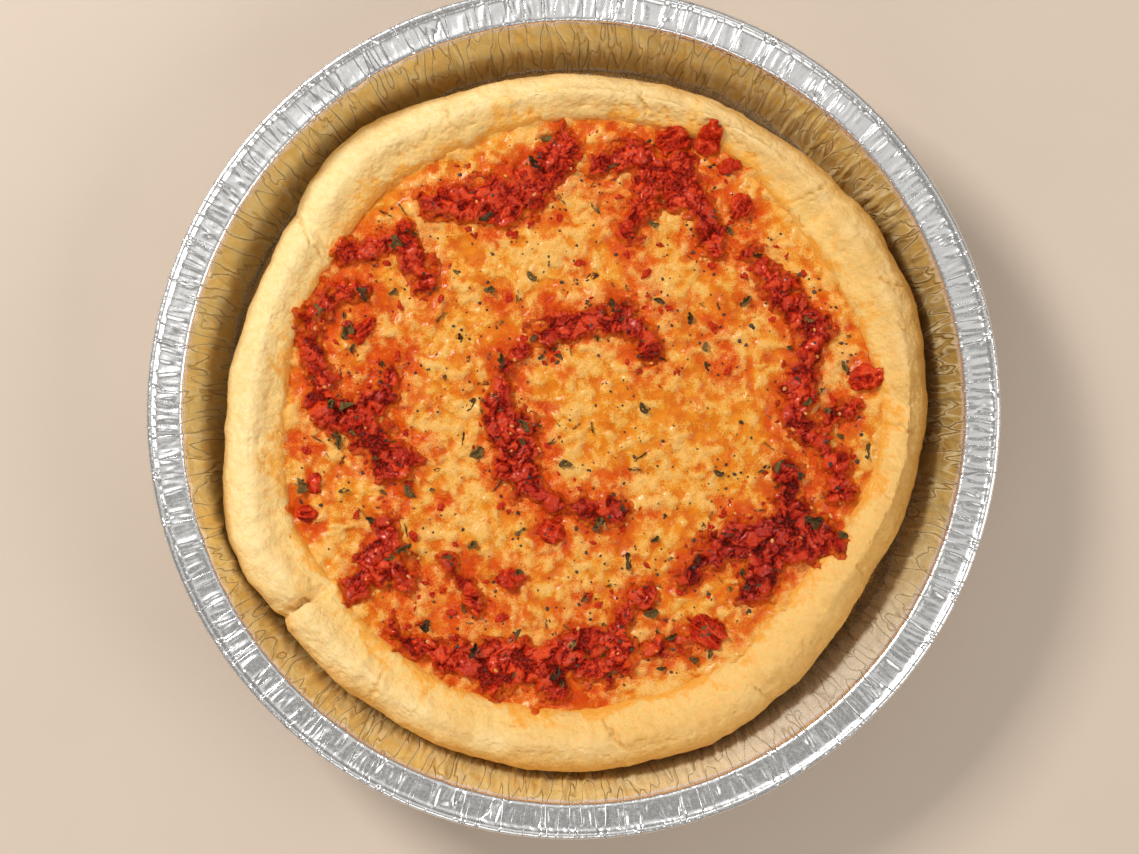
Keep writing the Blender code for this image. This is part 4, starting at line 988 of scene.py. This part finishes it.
def chunk_relief(x, y, depth, rng):
    """Domes of torn pulp over a patch, and how deep each place lies in the crevices between them."""
    first = np.zeros(x.shape)
    second = np.zeros(x.shape)
    share = np.full(x.shape, 0.5)
    low, high = (x.min(), y.min()), (x.max(), y.max())
    warp_x = x + 1.3 * soft_noise(2.6, 81, x, y) + 0.45 * soft_noise(1.0, 88, x, y)
    warp_y = y + 1.3 * soft_noise(2.6, 82, x, y) + 0.45 * soft_noise(1.0, 89, x, y)
    tries = int((high[0] - low[0]) * (high[1] - low[1]) / CHUNK_SPACING ** 2 * 1.6)
    for _ in range(tries):
        at = rng.uniform(low[0], high[0]), rng.uniform(low[1], high[1])
        length = rng.uniform(1.6, 3.0) * rng.choice((0.8, 1.0, 1.2, 1.6))
        width = length * rng.uniform(0.42, 0.8)
        height = rng.uniform(0.9, 1.7) * (0.6 + 0.25 * width)
        turn, tone = rng.uniform(0.0, math.pi), rng.random()
        near = np.hypot(x - at[0], y - at[1]) < length * 1.3
        if not near.any() or depth[near].max() < 0.5:
            continue
        across, along = warp_x[near] - at[0], warp_y[near] - at[1]
        u = (across * math.cos(turn) + along * math.sin(turn)) / length
        v = (along * math.cos(turn) - across * math.sin(turn)) / width
        v = v + 0.35 * u * u
        dome = height * np.clip(1.0 - np.hypot(u, v) ** 2.0, 0.0, 1.0) ** 0.85
        dome -= 0.2 * np.abs(np.sin(5.0 * v + 2.0 * u + 9.0 * tone)) * (dome > 0.0)
        was = first[near]
        second[near] = np.maximum(second[near], np.minimum(was, dome))
        share[near] = np.where(dome > was, tone, share[near])
        first[near] = np.maximum(was, dome)
    return first, first - second, share


def wet_tomato():
    """Node group: colour, roughness and height of wet cooked tomato from crest, thin and tone, with painted
    shade in the crevices and painted light on the crests.
    """
    wet = Shader("wet_tomato", group=True)
    sides = wet.tree.interface
    for key in ("Crest", "Thin", "Tone"):
        sides.new_socket(key, in_out="INPUT", socket_type="NodeSocketFloat")
    sides.new_socket("Color", in_out="OUTPUT", socket_type="NodeSocketColor")
    for key in ("Roughness", "Height"):
        sides.new_socket(key, in_out="OUTPUT", socket_type="NodeSocketFloat")
    source = wet.tree.nodes.new("NodeGroupInput")
    target = wet.tree.nodes.new("NodeGroupOutput")
    crest, thin, tone = (source.outputs[key] for key in ("Crest", "Thin", "Tone"))
    where = wet.place()
    fibre = wet.noise(where, 1.5, 2.0, 0.65, 0.6)
    grain = wet.noise(where, 4.5, 1.0, 0.6)
    blotch = wet.noise(where, 0.4, 2.0, 0.6)
    # Painted shade where the crest mark is low, in the crevices, and painted light where it is high, on the
    # crests.
    share = wet.plus(crest, wet.between(fibre, 0.25, 0.75, -0.36, 0.36))
    deep, body, bright = (wet.mix(tone, *pair) for pair in (TOMATO_CREVICE_SHADE, TOMATO_BODY, TOMATO_CREST_LIGHT))
    colour = wet.mix(wet.between(share, 0.05, 0.45), deep, body)
    colour = wet.mix(wet.between(share, 0.5, 1.1), colour, bright)
    film = wet.mix(wet.between(blotch, 0.35, 0.65), *TOMATO_FILM)
    thinned = wet.times(thin, wet.between(blotch, 0.3, 0.6, 0.55, 1.0))
    colour = wet.mix(thinned, colour, film)
    rough = wet.spread(grain, 0.06, 0.22)
    height = wet.plus(fibre, wet.times(grain, 0.35))
    wet.set(target, {"Color": colour, "Roughness": rough, "Height": height})
    return wet.tree


WET_TOMATO = wet_tomato()


def tomato_material(name, tone):
    """Wet cooked tomato of one tone, from the shared group."""
    sauce = Shader(name)
    group = sauce.add("Group", node_tree=WET_TOMATO)
    crest = sauce.attribute("crest")
    varied = sauce.plus(tone, sauce.times(sauce.minus(sauce.attribute("shade"), 0.5), 0.75))
    sauce.set(group, {"Crest": crest, "Thin": sauce.attribute("thin"), "Tone": varied})
    normal = sauce.bump(group.outputs["Height"], 0.8, 0.4)
    sauce.put(Base_Color=group.outputs["Color"], Roughness=group.outputs["Roughness"], Normal=normal)
    wet = sauce.between(crest, 0.4, 1.0, 0.0, 0.45)
    sauce.put(Specular_IOR_Level=0.08, Coat_Weight=wet, Coat_Roughness=0.06)
    return sauce.material


def build_patch(name, spines, trees, seed):
    """One patch as a closed skin, resting on the cheese and the crust."""
    corners = np.array([point for spine in spines for point in spine])
    low, high = (corners[:, :2] - 7.5).min(axis=0), (corners[:, :2] + 7.5).max(axis=0)
    x, y = np.meshgrid(np.arange(low[0], high[0], SAUCE_STEP), np.arange(low[1], high[1], SAUCE_STEP))
    ripple = 1.7 * perlin(5.0, 6.0, x, y)
    depth = patch_depth(spines, x, y) + ripple + 1.7 * layered_noise(3.4, 4, 83, x, y) - 0.2
    used, faces = lattice_faces(corner_counts(depth > 0.0) == 4)
    x, y, depth = x[used], y[used], depth[used]
    base = heights_on(trees, x, y)
    domes, gap, share = chunk_relief(x, y, depth, random.Random(seed))
    within = smooth_step(0.2, 2.2, depth)
    pulp = 0.25 * (1.0 - np.abs(soft_noise(1.1, 84, x, y))) + 0.12 * (1.0 - np.abs(soft_noise(0.6, 85, x, y)))
    thick = 0.12 + 0.75 * smooth_step(0.0, 2.6, depth) + domes * within + pulp * (0.4 + 0.6 * within)
    # The crest mark: painted shade in the crevices between the chunks and painted light on their tops.
    crest = 0.16 + 0.84 * smooth_step(0.0, 0.45, gap) * smooth_step(0.1, 1.2, domes)
    crest = np.clip(crest + 0.5 * (pulp - 0.2), 0.0, 1.2)
    thin = 1.0 - smooth_step(0.6, 2.4, depth)
    points, closed = close_below(np.stack([x, y, base + thick], axis=1), faces, base - SAUCE_SINK)
    attributes = {"crest": np.tile(crest, 2), "thin": np.tile(thin, 2), "shade": np.tile(share, 2)}
    material = tomato_material(name, SAUCE_TONES[name])
    return make_piece(name + "_pulp", points * MM, closed, material, attributes)


bed = tree_of(cheese, crust)
patches = []
for number, (name, spines) in enumerate(SAUCE_SPINES.items()):
    patch = build_patch(name, spines, bed, 300 + number)
    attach(patch, "root")
    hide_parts(name)
    patches.append(patch)

# Tomato pieces
# Ten larger soft pieces of peeled tomato, wrinkled and wet, that lie singly beside the patches
# and are baked into the cheese under them.
TOMATO_STEP = 0.2
TOMATO_SINK = 1.0
TOMATO_TONE = 0.8
TOMATO_SHADE = 0.6


def build_tomato(name, place, material, seed):
    """One piece: a torn wrinkled mound on an uneven oval."""
    at_x, at_y, half_length, half_width, height, turn = place
    reach = np.arange(-1.35 * half_length, 1.35 * half_length, TOMATO_STEP)
    u, v = np.meshgrid(reach, reach)
    share = np.hypot(u / half_length, v / half_width)
    share = share - 0.2 * soft_noise(2.4, seed, u, v) - 0.1 * soft_noise(1.0, seed + 1, u, v)
    used, faces = lattice_faces(corner_counts(share < 1.0) == 4)
    u, v, share = u[used], v[used], np.clip(share[used], 0.0, 1.0)
    warped = v + 0.5 * soft_noise(2.0, seed + 2, u, v)
    ridge = 1.0 - np.abs(soft_noise(1.5, seed + 3, 0.45 * u, warped))
    fibre = 1.0 - np.abs(soft_noise(0.6, seed + 4, 0.5 * u, warped))
    mound = (1.0 - share ** 2.4) ** 0.55
    thick = 0.1 + height * mound * (0.45 + 0.55 * ridge) + 0.25 * fibre * mound
    spin = math.radians(turn)
    x = at_x + u * math.cos(spin) - v * math.sin(spin)
    y = at_y + u * math.sin(spin) + v * math.cos(spin)
    base = heights_on(bed, x, y)
    # The crest mark: painted light on the ridges of the wrinkles and painted shade in the furrows.
    crest = np.clip(0.2 + 0.75 * ridge ** 2 + 0.25 * (fibre - 0.5), 0.0, 1.2)
    points, closed = close_below(np.stack([x, y, base + thick], axis=1), faces, base - TOMATO_SINK)
    thin = 1.0 - smooth_step(0.05, 0.5, mound)
    attributes = {"crest": np.tile(crest, 2), "thin": np.tile(thin, 2)}
    attributes["shade"] = np.full(len(points), TOMATO_SHADE)
    return make_piece(name + "_flesh", points * MM, closed, material, attributes)


flesh = tomato_material("tomato_flesh", TOMATO_TONE)
tomatoes = []
for number, (name, place) in enumerate(TOMATO_PIECES.items()):
    tomato = build_tomato(name, place, flesh, 400 + 7 * number)
    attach(tomato, "root")
    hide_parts(name)
    tomatoes.append(tomato)

# Herbs, pepper, seeds and shreds
# Dried herb leaves, ground pepper, tomato seeds and small shreds of tomato, strewn on the cheese
# and sauce and baked on. Things of one kind are joined to one piece.
# Place, length and turn of the larger leaves.
LEAVES = (
    (-49.2, 47.8, 5.0, 30), (-59.3, 32.7, 5.0, 10), (-6.9, 75.9, 5.0, 60), (-10.8, 70.0, 4.6, 110),
    (-24.8, 55.1, 4.4, 20), (5.5, 38.0, 4.4, 15), (48.1, 31.3, 4.0, 50), (-63.8, 23.1, 5.2, 40),
    (-71.6, 28.7, 4.0, 70), (-63.2, 1.5, 4.6, 0), (-65.5, -8.3, 4.0, 120), (-20.0, 14.4, 4.4, 35),
    (-4.3, 16.7, 4.4, 90), (11.4, 29.9, 4.6, 150), (-28.5, 2.4, 4.6, 45), (-13.9, -3.8, 4.6, 80),
    (-27.3, -11.1, 4.4, 130), (-2.1, -14.7, 4.0, 10), (-75.9, -20.0, 5.2, -10), (-56.5, -30.4, 4.0, 70),
    (-46.1, -21.7, 4.4, 100), (-47.5, -37.7, 4.6, 0), (-41.1, -59.9, 4.0, 40), (-16.4, -62.7, 5.0, 60),
    (-27.9, -66.6, 4.6, 20), (-5.5, -72.5, 5.0, 140), (15.6, -41.4, 5.2, 25), (7.0, -30.0, 4.6, 75),
    (36.9, -60.7, 4.2, 50), (75.3, -34.6, 4.4, 110), (67.2, -29.6, 5.2, 10), (82.3, -10.8, 4.6, 65),
    (57.9, -15.0, 4.2, 30), (65.5, 26.5, 4.2, 80), (21.7, -56.2, 4.2, 160), (24.0, 31.3, 3.4, 0),
)
# Width, curl and bend of each kind of leaf and stalk, as parts of its length.
WIDE_LEAVES = (
    (0.55, 0.9, 0.10), (0.42, -0.8, -0.08), (0.62, 1.2, -0.06), (0.36, 1.4, 0.14), (0.5, -1.1, 0.12),
)
NARROW_LEAVES = ((0.14, 1.0, 0.08), (0.2, -0.8, -0.1), (0.11, 0.5, 0.05))
# Length, width and height of each kind of grain, seed and shred, as parts of its length.
GRAIN_SIDES = 4 * ((1.0, 0.8, 0.7),)
PIP_SIDES = 3 * ((1.0, 0.72, 0.4),)
SHRED_SIDES = ((1.0, 0.55, 0.5), (1.0, 0.7, 0.5), (1.0, 0.36, 0.4), (1.0, 0.8, 0.6))
# Colours of the dry things, from dark to light.
LEAF_OLIVE = ((0.13, 0.075, 0.016), (0.30, 0.19, 0.055))
LEAF_DARK = ((0.018, 0.009, 0.005), (0.085, 0.036, 0.014))
PEPPER_COLOURS = ((0.012, 0.008, 0.006), (0.11, 0.060, 0.028))
PIP_COLOURS = ((0.62, 0.17, 0.02), (0.82, 0.42, 0.08))


def leaf_kind(name, width, curl, bend, seed):
    """A thin torn leaf, one unit long, curled over its length."""
    u, v = np.meshgrid(np.linspace(-1.0, 1.0, 15), np.linspace(-1.0, 1.0, 9))
    torn = 1.0 + 0.65 * soft_noise(0.4, seed, u, np.sign(v))
    half = width * np.clip(1.0 - np.abs(u) ** 2.4, 0.03, 1.0) ** 0.6 * torn
    x = 0.5 * u + 0.06 * soft_noise(0.5, seed + 1, v, 0.5 * u)
    y = 0.5 * half * v + 0.1 * soft_noise(1.2, seed + 2, u, 0.0 * v)
    z = curl * (half * v) ** 2 + bend * u * u + 0.14 * soft_noise(0.45, seed + 3, u, v)
    z -= 0.05 * np.exp(-(5.0 * v) ** 2)
    points = np.stack([x, y, z], axis=2).reshape(-1, 3)
    faces = lattice_faces(np.ones((u.shape[0] - 1, u.shape[1] - 1), dtype=bool))[1]
    points, faces = close_below(points, faces, points[:, 2] - 0.05)
    return make_piece(name, points, faces, None)


def lump_kind(name, detail, sides, uneven, seed):
    """A lumpy grain, one unit long."""
    bm = bmesh.new()
    bmesh.ops.create_icosphere(bm, subdivisions=detail, radius=1.0)
    shape = np.array([vert.co for vert in bm.verts])
    faces = [tuple(vert.index for vert in face.verts) for face in bm.faces]
    bm.free()
    shape = shape * (1.0 + uneven * soft_noise(0.7, seed, *shape.T))[:, None]
    # A fixed middle crest mark, for a middle amount of the tomato shader's painted light.
    return make_piece(name, 0.5 * shape * np.array(sides), faces, None, {"crest": np.full(len(shape), 0.62)})


def strewing_tree():
    """Geometry Nodes: one of several kinds at each point, turned and sized by the point."""
    tree = bpy.data.node_groups.new("strewn", "GeometryNodeTree")
    inputs = (("Points", "Geometry"), ("Kinds", "Collection"), ("Surface", "Material"), ("Size", "Float"))
    for key, kind in inputs:
        tree.interface.new_socket(key, in_out="INPUT", socket_type="NodeSocket" + kind)
    tree.interface.new_socket("Pieces", in_out="OUTPUT", socket_type="NodeSocketGeometry")

    def add(kind, **settings):
        node = tree.nodes.new(kind)
        for key, value in settings.items():
            setattr(node, key, value)
        return node

    def read(name, data_type):
        node = add("GeometryNodeInputNamedAttribute", data_type=data_type)
        node.inputs["Name"].default_value = name
        return next(socket for socket in node.outputs if socket.enabled and socket.name == "Attribute")

    source, target = add("NodeGroupInput"), add("NodeGroupOutput")
    cloud = add("GeometryNodeMeshToPoints")
    kinds = add("GeometryNodeCollectionInfo")
    kinds.inputs["Separate Children"].default_value = True
    kinds.inputs["Reset Children"].default_value = True
    place = add("GeometryNodeInstanceOnPoints")
    place.inputs["Pick Instance"].default_value = True
    size = add("ShaderNodeMath", operation="MULTIPLY")
    real = add("GeometryNodeRealizeInstances")
    coat = add("GeometryNodeSetMaterial")
    for start, end in (
        (source.outputs["Points"], cloud.inputs["Mesh"]),
        (cloud.outputs["Points"], place.inputs["Points"]),
        (source.outputs["Kinds"], kinds.inputs["Collection"]),
        (kinds.outputs["Instances"], place.inputs["Instance"]),
        (read("kind", "INT"), place.inputs["Instance Index"]),
        (read("facing", "FLOAT_VECTOR"), place.inputs["Rotation"]),
        (read("size", "FLOAT"), size.inputs[0]),
        (source.outputs["Size"], size.inputs[1]),
        (size.outputs[0], place.inputs["Scale"]),
        (place.outputs["Instances"], real.inputs["Geometry"]),
        (real.outputs["Geometry"], coat.inputs["Geometry"]),
        (source.outputs["Surface"], coat.inputs["Material"]),
        (coat.outputs["Geometry"], target.inputs["Pieces"]),
    ):
        tree.links.new(start, end)
    return tree


STREWN = strewing_tree()


def random_spots(seed, count, sizes, shades, near_sauce=None):
    """Places over the dish, each with a size, a turn and a shade."""
    rng = np.random.default_rng(seed)
    degrees = rng.uniform(0.0, 360.0, 6 * count)
    away = (dish_radius(degrees) - 3.5) * np.sqrt(rng.random(6 * count))
    x = CRUST_CENTRE[0] + away * np.cos(np.radians(degrees))
    y = CRUST_CENTRE[1] + away * np.sin(np.radians(degrees))
    if near_sauce is not None:
        near = patches_depth(x, y) > near_sauce
        x, y = x[near], y[near]
    x, y = x[:count], y[:count]
    rest = [rng.uniform(*limits, len(x)) for limits in (sizes, (0.0, 360.0), shades)]
    return np.stack([x, y, *rest], axis=1).tolist()


def strew(name, kinds, spots, material, seed):
    """One joined piece with one of the kinds at each spot, leaning with what lies under it."""
    rng = random.Random(seed)
    points = []
    marks = {"kind": [], "facing": [], "size": [], "shade": []}
    for x, y, length, turn, shade in spots:
        height, normal = surface_at(shown, x, y)
        lean = (normal + Vector((0.0, 0.0, 1.0))).normalized().to_track_quat("Z", "Y")
        spin = Quaternion((0.0, 0.0, 1.0), math.radians(turn))
        points.append(Vector((x, y, height + 0.08 * length)) * MM)
        marks["kind"].append(rng.randrange(len(kinds)))
        marks["facing"].append(tuple((lean @ spin).to_euler()))
        marks["size"].append(length * MM)
        marks["shade"].append(shade)
    holder = make_piece(name, points, [], material, {"size": marks["size"], "shade": marks["shade"]})
    attributes = holder.data.attributes
    attributes.new("kind", "INT", "POINT").data.foreach_set("value", marks["kind"])
    attributes.new("facing", "FLOAT_VECTOR", "POINT").data.foreach_set("vector", np.ravel(marks["facing"]))
    shelf = bpy.data.collections.new(name + "_kinds")
    for kind in kinds:
        bpy.context.scene.collection.objects.unlink(kind)
        shelf.objects.link(kind)
    modifier = holder.modifiers.new("strewn", "NODES")
    modifier.node_group = STREWN
    sockets = {item.name: item.identifier for item in STREWN.interface.items_tree if item.in_out == "INPUT"}
    modifier[sockets["Kinds"]] = shelf
    modifier[sockets["Surface"]] = material
    modifier[sockets["Size"]] = 1.0
    done = bpy.data.meshes.new_from_object(holder.evaluated_get(bpy.context.evaluated_depsgraph_get()))
    holder.modifiers.clear()
    holder.data = done
    for kind in kinds:
        bpy.data.objects.remove(kind)
    bpy.data.collections.remove(shelf)
    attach(holder, "root")
    return holder


def leaf_material():
    """Dried leaf: from olive to nearly black by its shade."""
    leaf = Shader("dried_leaf")
    vein = leaf.noise(leaf.place(), 2.2, 4.0, 0.65)
    spread = leaf.spread(vein)
    colour = leaf.mix(leaf.attribute("shade"), leaf.mix(spread, *LEAF_OLIVE), leaf.mix(spread, *LEAF_DARK))
    leaf.put(Base_Color=colour, Roughness=leaf.spread(vein, 0.42, 0.7), Specular_IOR_Level=0.15)
    leaf.put(Normal=leaf.bump(vein, 0.6, 0.15))
    return leaf.material


def grain_material(name, dark, light, scale, rough):
    """Small hard grains: mottled between two colours, with a spread of its own for each grain."""
    grain = Shader(name)
    mottle = grain.noise(grain.place(), scale, 3.0, 0.6)
    share = grain.plus(grain.spread(mottle, -0.2, 0.5), grain.times(grain.attribute("shade"), 0.6))
    value = grain.spread(mottle, rough - 0.1, rough + 0.12)
    grain.put(Base_Color=grain.mix(share, dark, light), Roughness=value, Normal=grain.bump(mottle, 0.4, 0.05))
    return grain.material


shown = tree_of(cheese, crust, *patches, *tomatoes)
leaf = leaf_material()
wide_leaves = [leaf_kind(f"wide_{k}", *sides, 500 + 10 * k) for k, sides in enumerate(WIDE_LEAVES)]
rng = random.Random(71)
spots = [(*place, rng.uniform(0.25, 1.0)) for place in LEAVES]
spots += random_spots(72, 80, (1.8, 3.6), (0.0, 1.0))
herb_leaves = strew("herb_leaves", wide_leaves, spots, leaf, 73)

narrow_leaves = [leaf_kind(f"narrow_{k}", *sides, 560 + 10 * k) for k, sides in enumerate(NARROW_LEAVES)]
herb_stalks = strew("herb_stalks", narrow_leaves, random_spots(74, 60, (2.0, 4.6), (0.1, 1.0)), leaf, 75)

pepper = grain_material("pepper", *PEPPER_COLOURS, 2.0, 0.55)
grains = [lump_kind(f"grain_{k}", 2, sides, 0.35, 600 + k) for k, sides in enumerate(GRAIN_SIDES)]
spots = random_spots(76, 620, (0.35, 0.8), (0.0, 0.6)) + random_spots(77, 150, (0.8, 1.35), (0.0, 1.0))
pepper_grains = strew("pepper_grains", grains, spots, pepper, 78)

pip = grain_material("pip", *PIP_COLOURS, 1.2, 0.32)
pips = [lump_kind(f"pip_{k}", 3, sides, 0.12, 620 + k) for k, sides in enumerate(PIP_SIDES)]
tomato_seeds = strew("tomato_seeds", pips, random_spots(79, 60, (0.9, 1.5), (0.0, 0.8), -1.5), pip, 80)

shred = tomato_material("tomato_shreds", 0.75)
torn = [lump_kind(f"torn_{k}", 3, sides, 0.8, 640 + k) for k, sides in enumerate(SHRED_SIDES)]
spots = [(x, y, length, 37.0 * k, 0.55) for k, (x, y, length) in enumerate(SHREDS)]
spots += random_spots(81, 260, (0.7, 2.3), (0.1, 0.9), -4.5)
tomato_shreds = strew("tomato_shreds", torn, spots, shred, 82)

# Floor
# A plain pale table top that the pan stands on, matt, with a faint cloud in its colour. It isn't
# a piece of the object.
FLOOR_SIZE = 6.0
FLOOR_Z = -0.0002
FLOOR_COLOURS = ((0.64, 0.515, 0.405), (0.68, 0.555, 0.44))
bpy.ops.mesh.primitive_plane_add(size=FLOOR_SIZE, location=(0.0, 0.0, FLOOR_Z))
floor = bpy.context.object
floor.name = "floor"
table = Shader("floor")
shade = table.noise(table.place(), 0.02, 2.0)
table.put(Base_Color=table.mix(shade, *FLOOR_COLOURS), Roughness=0.6)
floor.data.materials.append(table.material)

# Light and camera
# A soft window light from the upper left, weaker lamps round it that all face the pizza, a warm
# pale surround, and the camera straight above, as in the photo.
LAMPS = {
    "key": ((-0.72, 0.62, 0.95), 0.36, 13.0),
    "side": ((1.1, -0.35, 0.9), 0.9, 7.0),
    "front": ((-0.35, -1.15, 1.15), 0.9, 3.5),
    "ceiling": ((0.0, 1.0, 2.2), 2.4, 7.4),
}
WORLD_COLOUR = (1.0, 0.97, 0.93, 1.0)
WORLD_LIGHT = 0.24
CAMERA_PLACE = (-0.0011, -0.0040, 0.740)
SENSOR_WIDTH = 36.0
LENS = 80.6

for name, (place, size, power) in LAMPS.items():
    lamp = bpy.data.lights.new(name, "AREA")
    lamp.size = size
    lamp.energy = power
    light = bpy.data.objects.new(name, lamp)
    light.location = place
    light.rotation_euler = (Vector() - Vector(place)).to_track_quat("-Z", "Y").to_euler()
    bpy.context.scene.collection.objects.link(light)

world = bpy.data.worlds.new("studio")
world.use_nodes = True
background = world.node_tree.nodes["Background"]
background.inputs["Color"].default_value = WORLD_COLOUR
background.inputs["Strength"].default_value = WORLD_LIGHT
bpy.context.scene.world = world
bpy.context.scene.view_settings.view_transform = "Standard"

view = bpy.data.cameras.new("camera")
view.sensor_width = SENSOR_WIDTH
view.lens = LENS
camera = bpy.data.objects.new("camera", view)
camera.location = CAMERA_PLACE
bpy.context.scene.collection.objects.link(camera)
bpy.context.scene.camera = camera
